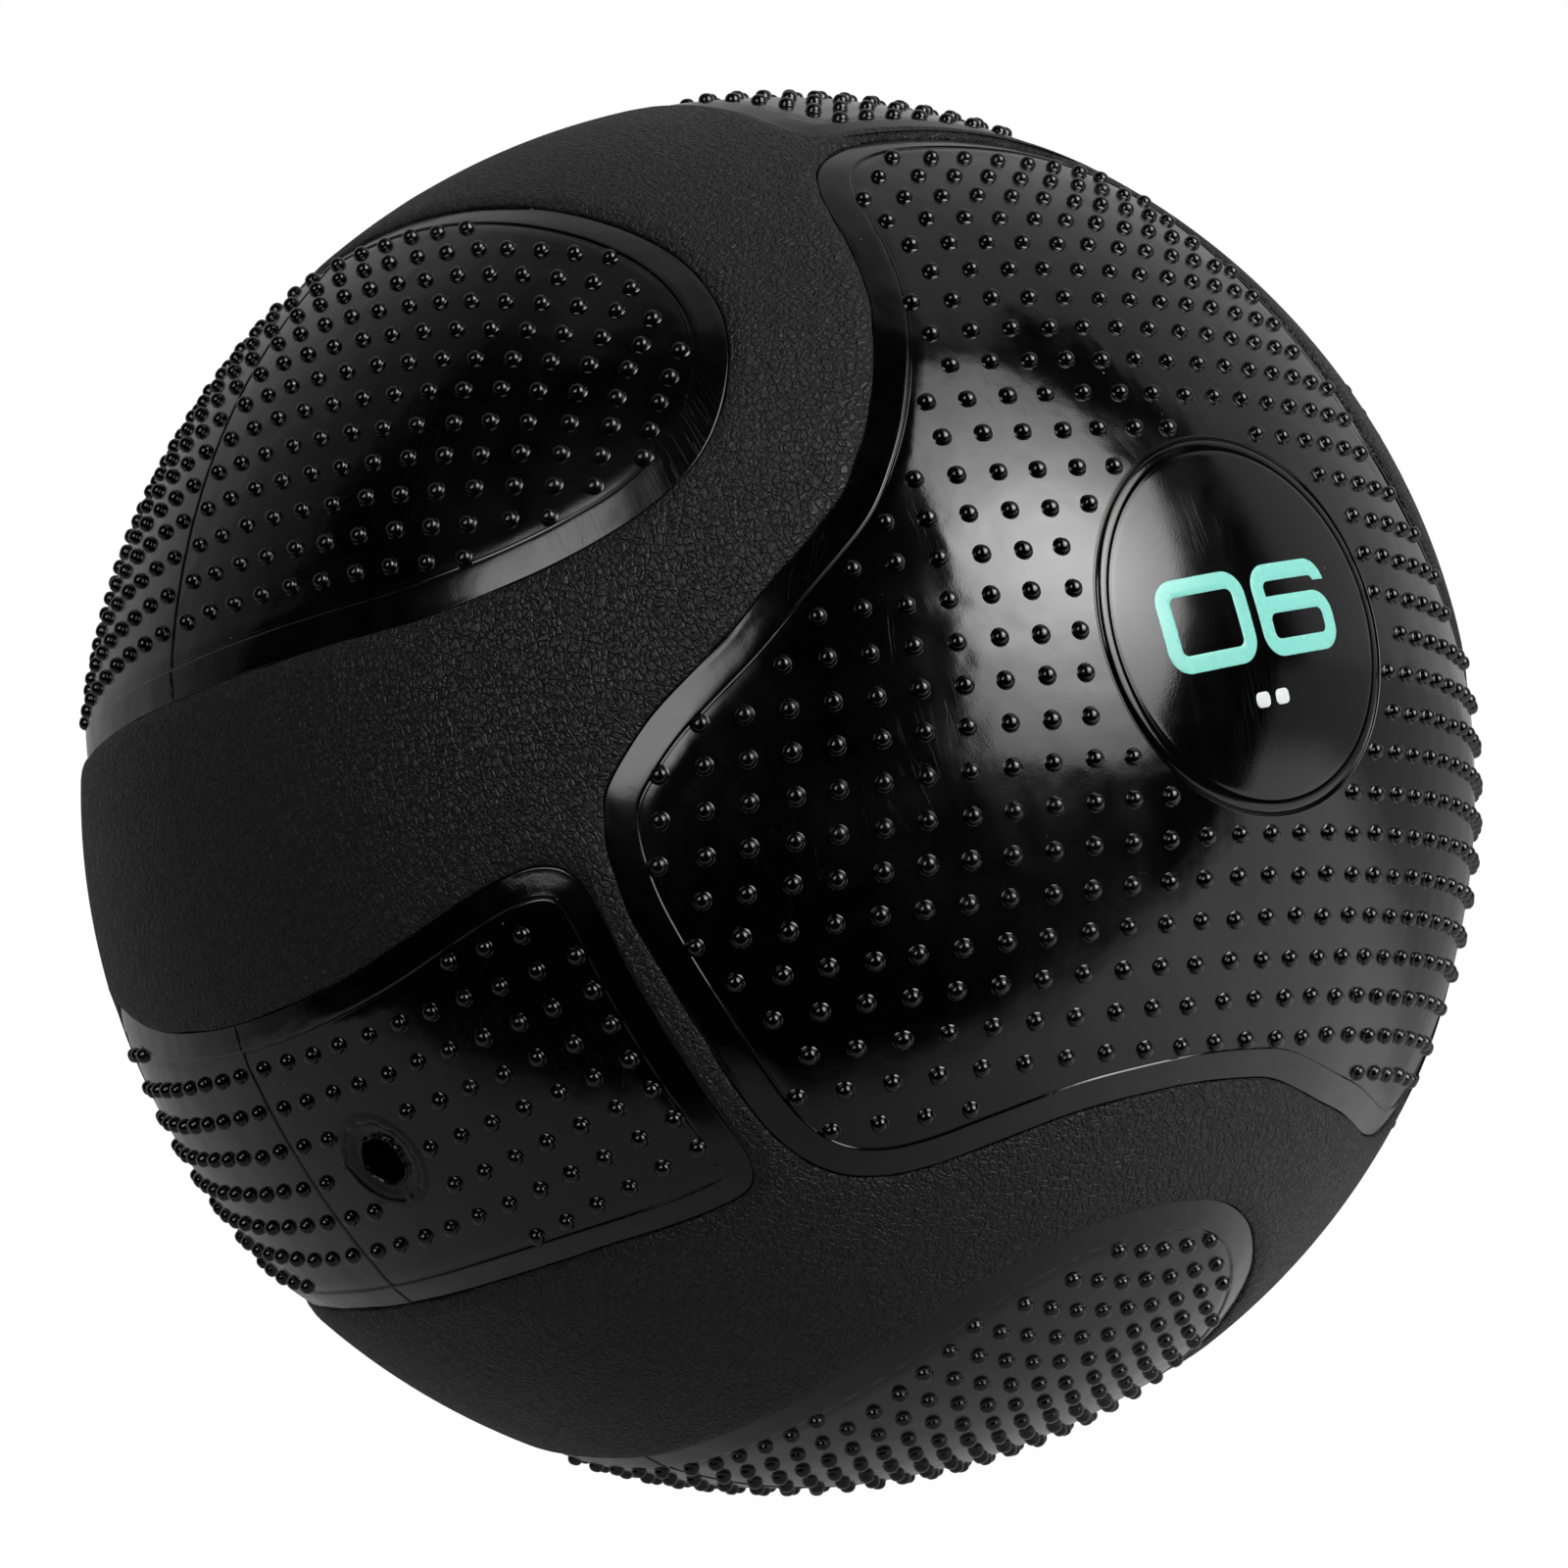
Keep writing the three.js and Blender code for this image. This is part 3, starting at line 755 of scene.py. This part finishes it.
def web(front):
    sign = 1 if front else -1
    flip = np.array([1, sign, 1])  # the rear half's windows mirror the front's
    edge_y = PARTING_Y / BALL_R
    axes = plane_of(np.array([0, -1.0, 0]) * np.array([1, sign, 1]))
    b = Builder()
    windows = []
    pole = OUTLINES["pole_front"][0] if front else counterclockwise(OUTLINES["pole_front"][0] * flip)
    rings = [("pole", pole)] + [(k, o) for k, (o, kind) in OUTLINES.items() if kind != "pole"]
    for q, (key, ring) in enumerate(rings):
        rows, top = flank_rows(ring, 101 + q)
        windows.append(top)
        n = len(ring)
        mids = 0.25 * (rows[0] + np.roll(rows[0], -1, 0) + rows[-1] + np.roll(rows[-1], -1, 0))
        here = mids[:, 1] < PARTING_Y if front else mids[:, 1] >= PARTING_Y
        if key == "pole":
            here[:] = True
        faces = []
        for r in range(len(rows) - 1):
            for i in np.nonzero(here)[0]:
                j = (i + 1) % n
                faces.append((r * n + j, r * n + i, (r + 1) * n + i, (r + 1) * n + j)[::-1])
        b.add(np.vstack(rows), faces)
    a = np.arange(760) * 2 * math.pi / 760
    y = edge_y
    r = math.sqrt(1 - y * y)
    border = np.stack([r * np.cos(a), np.full(760, y), r * np.sin(a)], -1)
    polys = [flat(w_, axes) for w_ in windows]
    round_ = flat(border, axes)
    limit = np.linalg.norm(round_[0])
    loose = LOOSE_WEB[(LOOSE_WEB[:, 1] * sign < y * sign - 0.012)]
    xy = flat(loose, axes)
    keep = np.ones(len(loose), bool)
    for p in polys:
        keep &= ~inside(xy, p)
    loose = loose[keep]
    for w_ in windows:
        loose = loose[far_from(loose, w_, 1.3)]

    def stays(mid):
        ok = np.linalg.norm(mid, axis=1) < limit
        for p in polys:
            ok &= ~inside(mid, p)
        return ok

    d, tri = fill([*windows, border], loose, axes, stays)
    b.add(d * BALL_R, tri)
    return b


for front in (True, False):
    b = web(front)
    if front:
        for k in range(3):
            for p0, p1 in ((95.2, 119.5), (163.9, 189.2)):
                seam_ribbon(b, p0 + 120 * k + 1.6, p1 + 120 * k - 1.6, lambda phi: np.full(len(phi), BALL_R - 0.02), 0.012, 0.2, 0.012)
    side = "front" if front else "rear"
    finish_piece(b.make(f"grip_skin_{side}", GRAIN), "grain_rubber", f"grip_web_{side}")


# ---- Discs, numerals and marks -------------------------------------------------------------------
def frame_at(axis):
    z = unit(np.asarray(axis, float))
    up = np.array([0, 0, 1.0]) - z * z[2]
    up = unit(up)
    return np.stack([np.cross(up, z), up, z], 1)  # columns: right, up, out


def sag(R, r):
    return np.sqrt(np.maximum(R * R - r * r, 0))


def lathe(b, profile, basis, segs):
    """profile is (radius, height) from the outside in, seen from above."""
    a = np.arange(segs) * 2 * math.pi / segs
    rows = []
    for r, z in profile:
        rows.append(np.stack([r * np.cos(a), r * np.sin(a), np.full(segs, z)], -1) @ basis.T)
    b.strip(rows)


def disc(side):
    axis = disc_front if side == "front" else disc_front * np.array([1, -1, 1])
    basis = frame_at(axis)
    r0 = DISC_RADIUS
    edge = float(sag(FIELD_R, r0))
    p = [
        (r0 + 0.62, float(sag(FIELD_R, r0 + 0.62)) - 0.01), (r0 + 0.42, edge + 0.01), (r0 + 0.26, edge - 0.08), (r0 + 0.14, edge - 0.38),
        (r0 + 0.0, edge - 0.46), (r0 - 0.12, edge - 0.28), (r0 - 0.26, edge - 0.02),
    ]
    for r, h in ((r0 - 0.5, 0.07), (r0 - 0.95, 0.10), (r0 - 1.35, 0.09), (r0 - 1.70, 0.04), (r0 - 1.90, -0.02), (r0 - 2.04, -0.07),
                 (r0 - 2.16, -0.06), (r0 - 2.34, 0.0), (r0 - 2.6, 0.03), (r0 - 3.0, 0.04)):
        p.append((r, float(sag(FIELD_R, r)) + h))
    for r in np.linspace(r0 - 3.8, 0.6, 22):
        t = r / (r0 - 3.8)
        p.append((float(r), float(sag(FIELD_R, r)) + 0.04 + 0.10 * (1 - t * t)))
    b = Builder()
    lathe(b, p, basis, 180)
    top = np.array([[0, 0, float(sag(FIELD_R, 0)) + 0.14]]) @ basis.T
    last = np.stack([0.6 * np.cos(np.arange(180) * math.pi / 90), 0.6 * np.sin(np.arange(180) * math.pi / 90),
                     np.full(180, p[-1][1])], -1) @ basis.T
    b.add(np.vstack([last, top]), [(i, (i + 1) % 180, 180) for i in range(180)])
    finish_piece(b.make(f"disc_face_{side}", DISC), "disc_rubber", f"weight_disc_{side}")
    return basis


def arc(cx, cy, r, a0, a1, n=10):
    t = np.linspace(a0, a1, n)
    return [(cx + r * math.cos(x), cy + r * math.sin(x)) for x in t]


def pill(x, y, w, h, r, n=10):
    q = math.pi / 2
    return (
        arc(x + w / 2 - r, y - h / 2 + r, r, -q, 0, n) + arc(x + w / 2 - r, y + h / 2 - r, r, 0, q, n)
        + arc(x - w / 2 + r, y + h / 2 - r, r, q, 2 * q, n) + arc(x - w / 2 + r, y - h / 2 + r, r, 2 * q, 3 * q, n)
    )


def zero_shape():
    w, h, s = NUMERAL_W, NUMERAL_H, STROKE
    return [pill(0, 0, w, h, CORNER, 12), pill(0, 0, w - 2 * s, h - 2 * s, CORNER - s, 8)]


def six_shape():
    q = math.pi / 2
    x, y, r, c = NUMERAL_W / 2, NUMERAL_H / 2, CORNER, 1.25
    xi, yi = x - STROKE, y - STROKE
    top, tip = 2.15, y - 3.5
    outer = (
        arc(x - r, -y + r, r, -q, 0) + arc(x - r, top - r, r, 0, q) + [(-xi, top)]
        + arc(-xi + c, yi - c, c, 2 * q, q, 6) + arc(xi - c, yi - c, c, q, 0.25, 5) + [(xi, tip), (x, tip)]
        + arc(x - r, y - r, r, 0.1, q, 9) + arc(-x + r, y - r, r, q, 2 * q) + arc(-x + r, -y + r, r, 2 * q, 3 * q)
    )
    low, high = -y + STROKE, top - STROKE
    return [outer, pill(0, (low + high) / 2, 2 * xi, high - low, 1.2, 6)]


def bar_shape():
    return [pill(0, 0, 2.9, 2.3, 0.8, 6)]


def dense(loop, step=0.5):
    p = np.array(loop)
    keep = np.linalg.norm(p - np.roll(p, 1, 0), axis=1) > 1e-4
    p = p[keep]
    out = []
    for a, c in zip(p, np.roll(p, -1, 0)):
        k = max(1, int(np.linalg.norm(c - a) / step))
        out += [a + (c - a) * t / k for t in range(k)]
    return np.array(out)


def mark(name, loops, x, y, basis, mat, slot, node, rise=0.035):
    """A thin flush inlay that follows the disc's dome, with a softened edge."""
    loops = [dense(l) + np.array([x, y]) for l in loops]
    verts, edges, at = [], [], 0
    for l in loops:
        n = len(l)
        edges += [(at + i, at + (i + 1) % n) for i in range(n)]
        verts += [Vector((float(a), float(c))) for a, c in l]
        at += n
    lo, hi = np.vstack(loops).min(0), np.vstack(loops).max(0)
    gx, gy = np.meshgrid(np.arange(lo[0] + 0.4, hi[0], 0.9), np.arange(lo[1] + 0.4, hi[1], 0.9))
    g = np.stack([gx.ravel(), gy.ravel()], -1)
    ok = inside(g, loops[0])
    for l in loops[1:]:
        ok &= ~inside(g, l)
    for l in loops:
        ok &= np.linalg.norm(g[:, None] - l[None], axis=2).min(1) > 0.35
    verts += [Vector((float(a), float(c))) for a, c in g[ok]]
    out = delaunay_2d_cdt(verts, edges, [], 0, 1e-6)
    p = np.array([[v.x, v.y] for v in out[0]])
    tri = np.array([f for f in out[2] if len(f) == 3])
    mid = p[tri].mean(1)
    keep = inside(mid, loops[0])
    for l in loops[1:]:
        keep &= ~inside(mid, l)
    tri = tri[keep]
    e1, e2 = p[tri[:, 1]] - p[tri[:, 0]], p[tri[:, 2]] - p[tri[:, 0]]
    wrong = e1[:, 0] * e2[:, 1] - e1[:, 1] * e2[:, 0] < 0
    tri[wrong] = tri[wrong][:, ::-1]

    def lifted(q, h):
        r = np.linalg.norm(q, axis=1)
        t = np.clip(r / (DISC_RADIUS - 3.8), 0, 1)
        z = sag(FIELD_R, r) + 0.04 + 0.10 * (1 - t * t) + h
        return np.stack([q[:, 0], q[:, 1], z], -1) @ basis.T

    b = Builder()
    b.add(lifted(p, rise), tri)
    for k, l in enumerate(loops):
        if k:
            l = l[::-1]
        out_n = np.roll(l, -1, 0) - np.roll(l, 1, 0)
        out_n = np.stack([out_n[:, 1], -out_n[:, 0]], -1)
        out_n /= np.maximum(np.linalg.norm(out_n, axis=1, keepdims=True), 1e-9)
        area = 0.5 * (l[:, 0] * np.roll(l[:, 1], -1) - np.roll(l[:, 0], -1) * l[:, 1]).sum()
        rows = [lifted(l + out_n * 0.05, -0.5), lifted(l + out_n * 0.05, rise - 0.03), lifted(l, rise)]
        if (area < 0) != bool(k):
            rows = rows[::-1]
        b.strip(rows)
    o = b.make(name, mat, 0.0005)
    bm = bmesh.new()
    bm.from_mesh(o.data)
    bmesh.ops.recalc_face_normals(bm, faces=bm.faces)
    bm.to_mesh(o.data)
    bm.free()
    finish_piece(o, slot, node)


for side in ("front", "rear"):
    basis = disc(side)
    half = NUMERAL_PITCH / 2
    mark(f"zero_inlay_{side}", zero_shape(), -half - 0.8, 0.9, basis, TEAL, "teal_inlay", f"numeral_zero_{side}")
    mark(f"six_inlay_{side}", six_shape(), half - 0.8, 0.9, basis, TEAL, "teal_inlay", f"numeral_six_{side}")
    mark(f"unit_inlay_left_{side}", bar_shape(), -3.1, -12.4, basis, WHITE, "white_inlay", f"unit_mark_left_{side}")
    mark(f"unit_inlay_right_{side}", bar_shape(), 1.2, -12.4, basis, WHITE, "white_inlay", f"unit_mark_right_{side}")


# ---- Valve collar --------------------------------------------------------------------------------
def collar():
    basis = frame_at(valve_axis)
    segs = 120
    a = np.arange(segs) * 2 * math.pi / segs
    z = lambda r: float(sag(FIELD_R, r))  # noqa: E731
    rim = ragged(segs, 0.16, 5, 3)
    mouth = ragged(segs, 0.13, 9, 3)
    rows = []
    for r, h, share, k in (
        (8.9, -0.02, 0.0, 0), (8.3, 0.05, 0.3, 0), (7.8, 0.10, 0.8, 0), (7.35, 0.02, 1.3, 0), (7.15, -0.30, 1.5, 0),
        (6.95, -0.20, 1.1, 0), (6.6, -0.16, 0.5, 0), (6.1, -0.26, 0.3, 0), (5.5, -0.42, 0.2, 0), (4.95, -0.60, 0.2, 0),
        (4.7, -0.58, 0.3, 1), (4.5, -0.32, 0.8, 1), (4.35, -0.10, 1.3, 1), (4.2, -0.18, 1.5, 1), (4.05, -0.60, 0.7, 0),
        (3.90, -1.2, 0.0, 0), (3.88, -3.0, 0.0, 0), (3.88, -5.2, 0.0, 0),
    ):
        jag = (mouth if k else rim) * share
        rr = r + jag
        hh = h + (0.5 * jag if k else 0.35 * np.abs(jag))
        rows.append(np.stack([rr * np.cos(a), rr * np.sin(a), z(r) + hh], -1) @ basis.T)
    b = Builder()
    b.strip(rows)
    o = b.make("valve_ring", COLLAR)
    finish_piece(o, "collar_rubber", "valve_collar")


collar()

# ---- CAD pieces that stay ------------------------------------------------------------------------
for node, mat in (
    ("heavy_wall_front", WALL), ("heavy_wall_rear", WALL), ("thread_winding", WINDING), ("butyl_bladder", BLADDER),
    ("valve_boot", BOOT), ("valve_core", CORE),
):
    o = NODES[node]
    if not o.data.materials:
        o.data.materials.append(mat)
    for s in o.material_slots:
        s.material = mat

# ---- Camera --------------------------------------------------------------------------------------
EYE = Vector((-0.5015, -0.5955, -0.0476))
RIGHT = Vector((0.75135, -0.61333, -0.24350)).normalized()
BACK = EYE.normalized()
UP = BACK.cross(RIGHT).normalized()
RIGHT = UP.cross(BACK).normalized()
cam = bpy.data.cameras.new("camera")
camera = bpy.data.objects.new("camera", cam)
bpy.context.scene.collection.objects.link(camera)
camera.matrix_world = Matrix(
    [[RIGHT[i], UP[i], BACK[i], EYE[i]] for i in range(3)] + [[0, 0, 0, 1]]
)
cam.sensor_width = 36.0
cam.sensor_fit = "HORIZONTAL"
cam.lens = 4579 / 1600 * 36.0
cam.shift_x = (800 - 795.24) / 1600
cam.shift_y = (809.0 - 800) / 1600
cam.clip_start, cam.clip_end = 0.01, 50
bpy.context.scene.camera = camera


def towards(az, el):
    """A direction given round the camera's own right, up and back axes, in degrees."""
    a, e = math.radians(az), math.radians(el)
    return (RIGHT * math.sin(a) * math.cos(e) + UP * math.sin(e) + BACK * math.cos(a) * math.cos(e)).normalized()


# ---- Light ---------------------------------------------------------------------------------------
def step01(a, b, x):
    t = np.clip((x - a) / (b - a), 0, 1)
    return t * t * (3 - 2 * t)


def as_mirrored(pts):
    """The directions, in degrees, in which the ball's surface mirrors each panel point to the camera."""
    target = np.array([tuple(p) for p in pts])
    back, right, up = (np.array(tuple(v)) for v in (BACK, RIGHT, UP))
    d = unit(target)
    for _ in range(5):
        d = unit(target - 0.12 * unit(d + back))
    return np.degrees(np.arctan2(d @ right, d @ back)), np.degrees(np.arcsin(np.clip(d @ up, -1, 1)))


def softbox(name, az, el, distance, level):
    """A curved diffuser that spans ranges of az and el; level(az, el) is its brightness. It isn't seen itself."""
    na, ne = int(az[1] - az[0]) + 1, int(el[1] - el[0]) + 1
    A, E = np.meshgrid(np.linspace(*az, na), np.linspace(*el, ne))
    pts = [towards(a, e) * distance for a, e in zip(A.ravel(), E.ravel())]
    faces = [
        (i * na + j, i * na + j + 1, (i + 1) * na + j + 1, (i + 1) * na + j)
        for i in range(ne - 1) for j in range(na - 1)
    ]
    mesh = bpy.data.meshes.new(name)
    mesh.from_pydata([tuple(p) for p in pts], [], faces)
    glow = mesh.attributes.new("level", "FLOAT", "POINT")
    glow.data.foreach_set("value", level(*as_mirrored(pts)).astype(np.float32))
    o = bpy.data.objects.new(name, mesh)
    bpy.context.scene.collection.objects.link(o)
    m = bpy.data.materials.new(name)
    m.use_nodes = True
    nt = m.node_tree
    nt.nodes.clear()
    out = nt.nodes.new("ShaderNodeOutputMaterial")
    em = nt.nodes.new("ShaderNodeEmission")
    at = nt.nodes.new("ShaderNodeAttribute")
    at.attribute_name = "level"
    nt.links.new(at.outputs["Fac"], em.inputs["Strength"])
    clear = nt.nodes.new("ShaderNodeBsdfTransparent")
    both = nt.nodes.new("ShaderNodeAddShader")
    nt.links.new(em.outputs[0], both.inputs[0])
    nt.links.new(clear.outputs[0], both.inputs[1])
    nt.links.new(both.outputs[0], out.inputs[0])
    mesh.materials.append(m)
    o.visible_camera = False
    o.visible_shadow = False
    return o


def key_level(a, e):
    right = np.interp(e, [0, 10, 20, 30, 40, 50, 60, 66], [61, 64, 71, 78, 83, 81, 72, 62])
    mask = step01(30.0, 32.0, a) * (1 - step01(right - 3.2, right - 0.4, a)) * step01(2, 6.5, e) * (1 - step01(61, 68, e))
    return mask * (2.4 + 10.2 * np.exp(-(((a - 50) / 22) ** 2) - ((e - 33) / 16) ** 2))


def strip_level(a, e):
    left = np.interp(e, [0, 20, 30, 36, 42], [-50, -48, -40, -32, -26])
    mask = step01(left - 3, left + 4, a) * (1 - step01(-24, -16, a)) * step01(2, 9, e) * (1 - step01(36, 44, e))
    return mask * 4.6


softbox("key_panel", (20, 90), (-4, 68), 0.72, key_level)
softbox("strip_panel", (-52, -8), (-4, 44), 0.9, strip_level)

world = bpy.data.worlds.new("studio")
bpy.context.scene.world = world
world.use_nodes = True
wt = world.node_tree
wt.nodes.clear()
wo = wt.nodes.new("ShaderNodeOutputWorld")
bg = wt.nodes.new("ShaderNodeBackground")
bright = wt.nodes.new("ShaderNodeBackground")
bright.inputs["Color"].default_value = (1, 1, 1, 1)
bright.inputs["Strength"].default_value = 1.0
pick = wt.nodes.new("ShaderNodeMixShader")
path = wt.nodes.new("ShaderNodeLightPath")
tc = wt.nodes.new("ShaderNodeTexCoord").outputs["Generated"]


def wdot(v):
    n = wt.nodes.new("ShaderNodeVectorMath")
    n.operation = "DOT_PRODUCT"
    wt.links.new(tc, n.inputs[0])
    n.inputs[1].default_value = tuple(v)
    return n.outputs["Value"]


def wramp(x, a, b2, y0, y1):
    n = wt.nodes.new("ShaderNodeMapRange")
    n.interpolation_type = "SMOOTHSTEP"
    wt.links.new(x, n.inputs["Value"])
    for k, v in (("From Min", a), ("From Max", b2), ("To Min", y0), ("To Max", y1)):
        n.inputs[k].default_value = v
    return n.outputs[0]


def wmath(op, a, b2):
    n = wt.nodes.new("ShaderNodeMath")
    n.operation = op
    for i, v in enumerate((a, b2)):
        if isinstance(v, bpy.types.NodeSocket):
            wt.links.new(v, n.inputs[i])
        else:
            n.inputs[i].default_value = v
    return n.outputs[0]


# behind and to the right the studio is pale, on the camera's side it is dark
fr, ri, hi_up = wdot(BACK), wdot(RIGHT), wdot(UP)
behind_right = wmath("MULTIPLY", wmath("ADD", wramp(fr, -0.11, -0.14, 0.0, 0.38), wramp(fr, -0.2, -0.8, 0.0, 0.08)), wramp(ri, -0.35, 0.1, 0.0, 1.0))
behind_left = wmath("MULTIPLY", wmath("ADD", wramp(fr, -0.03, -0.12, 0.0, 0.10), wramp(fr, -0.1, -0.85, 0.0, 0.24)), wramp(ri, 0.1, -0.35, 0.0, 1.0))
overhead = wmath("MULTIPLY", wmath("MULTIPLY", wramp(hi_up, 0.88, 0.91, 0.0, 0.40), wramp(fr, 0.2, 0.05, 0.0, 1.0)), wramp(ri, -0.1, 0.15, 0.4, 1.0))
level = wmath("ADD", wmath("MAXIMUM", wmath("ADD", behind_right, behind_left), overhead), 0.008)
wt.links.new(level, bg.inputs["Strength"])
bg.inputs["Color"].default_value = (1, 1, 1, 1)
wt.links.new(path.outputs["Is Camera Ray"], pick.inputs[0])
wt.links.new(bg.outputs[0], pick.inputs[1])
wt.links.new(bright.outputs[0], pick.inputs[2])
wt.links.new(pick.outputs[0], wo.inputs[0])


# ---- Floor ---------------------------------------------------------------------------------------
def floor():
    mesh = bpy.data.meshes.new("floor")
    s, z = 30.0, -0.1216
    mesh.from_pydata([(-s, -s, z), (s, -s, z), (s, s, z), (-s, s, z)], [], [(0, 1, 2, 3)])
    o = bpy.data.objects.new("floor", mesh)
    bpy.context.scene.collection.objects.link(o)
    m = bpy.data.materials.new("pale_floor")
    m.use_nodes = True
    nt = m.node_tree
    nt.nodes.clear()
    out = nt.nodes.new("ShaderNodeOutputMaterial")
    lp = nt.nodes.new("ShaderNodeLightPath")
    mix = nt.nodes.new("ShaderNodeMixShader")
    seen = nt.nodes.new("ShaderNodeAddShader")
    glow = nt.nodes.new("ShaderNodeEmission")
    glow.inputs["Color"].default_value = (1, 1, 1, 1)
    glow.inputs["Strength"].default_value = 0.985
    pale = nt.nodes.new("ShaderNodeBsdfDiffuse")
    pale.inputs["Color"].default_value = (0.06, 0.06, 0.06, 1)
    nt.links.new(glow.outputs[0], seen.inputs[0])
    nt.links.new(pale.outputs[0], seen.inputs[1])
    floor_painted_light = nt.nodes.new("ShaderNodeEmission")
    # for all but camera rays the floor glows with painted light: a dim base, a brighter lit patch to the right near
    # the ball, and past the paper's near edge, which lies close in front of the ball, the floor is painted dark
    geo = nt.nodes.new("ShaderNodeNewGeometry")
    fwd = Vector((BACK[0], BACK[1], 0)).normalized()
    dot = nt.nodes.new("ShaderNodeVectorMath")
    dot.operation = "DOT_PRODUCT"
    nt.links.new(geo.outputs["Position"], dot.inputs[0])
    dot.inputs[1].default_value = tuple(fwd)
    side = nt.nodes.new("ShaderNodeVectorMath")
    side.operation = "DOT_PRODUCT"
    nt.links.new(geo.outputs["Position"], side.inputs[0])
    side.inputs[1].default_value = tuple(RIGHT)

    def ramp(x, a, b2, y0, y1):
        n = nt.nodes.new("ShaderNodeMapRange")
        n.interpolation_type = "SMOOTHSTEP"
        nt.links.new(x, n.inputs["Value"])
        for key, val in (("From Min", a), ("From Max", b2), ("To Min", y0), ("To Max", y1)):
            n.inputs[key].default_value = val
        return n.outputs[0]

    def times(a, b2):
        n = nt.nodes.new("ShaderNodeMath")
        n.operation = "MULTIPLY"
        nt.links.new(a, n.inputs[0])
        nt.links.new(b2, n.inputs[1])
        return n.outputs[0]

    # painted light on the floor: the brighter patch to the camera's right, near the ball
    near = times(ramp(side.outputs["Value"], 0.0, 0.2, 0, 1), ramp(side.outputs["Value"], 0.45, 0.9, 1, 0))
    near = times(near, ramp(dot.outputs["Value"], -0.12, 0.03, 0, 1))
    base_level = nt.nodes.new("ShaderNodeMath")
    base_level.operation = "MULTIPLY_ADD"
    nt.links.new(near, base_level.inputs[0])
    base_level.inputs[1].default_value = 0.72
    base_level.inputs[2].default_value = 0.27
    # painted shade: the floor's glow falls almost to nothing past the paper's near edge
    rg = nt.nodes.new("ShaderNodeMapRange")
    rg.interpolation_type = "SMOOTHSTEP"
    for key, val in (("From Min", 0.150), ("From Max", 0.185), ("To Min", 1.0), ("To Max", 0.02)):
        rg.inputs[key].default_value = val
    nt.links.new(dot.outputs["Value"], rg.inputs["Value"])
    amount = nt.nodes.new("ShaderNodeMath")
    amount.operation = "MULTIPLY"
    nt.links.new(rg.outputs[0], amount.inputs[0])
    nt.links.new(base_level.outputs[0], amount.inputs[1])
    nt.links.new(amount.outputs[0], floor_painted_light.inputs["Strength"])
    nt.links.new(lp.outputs["Is Camera Ray"], mix.inputs[0])
    nt.links.new(floor_painted_light.outputs[0], mix.inputs[1])
    nt.links.new(seen.outputs[0], mix.inputs[2])
    nt.links.new(mix.outputs[0], out.inputs[0])
    mesh.materials.append(m)


floor()

bpy.context.scene.view_settings.view_transform = "Standard"
bpy.context.scene.view_settings.look = "None"
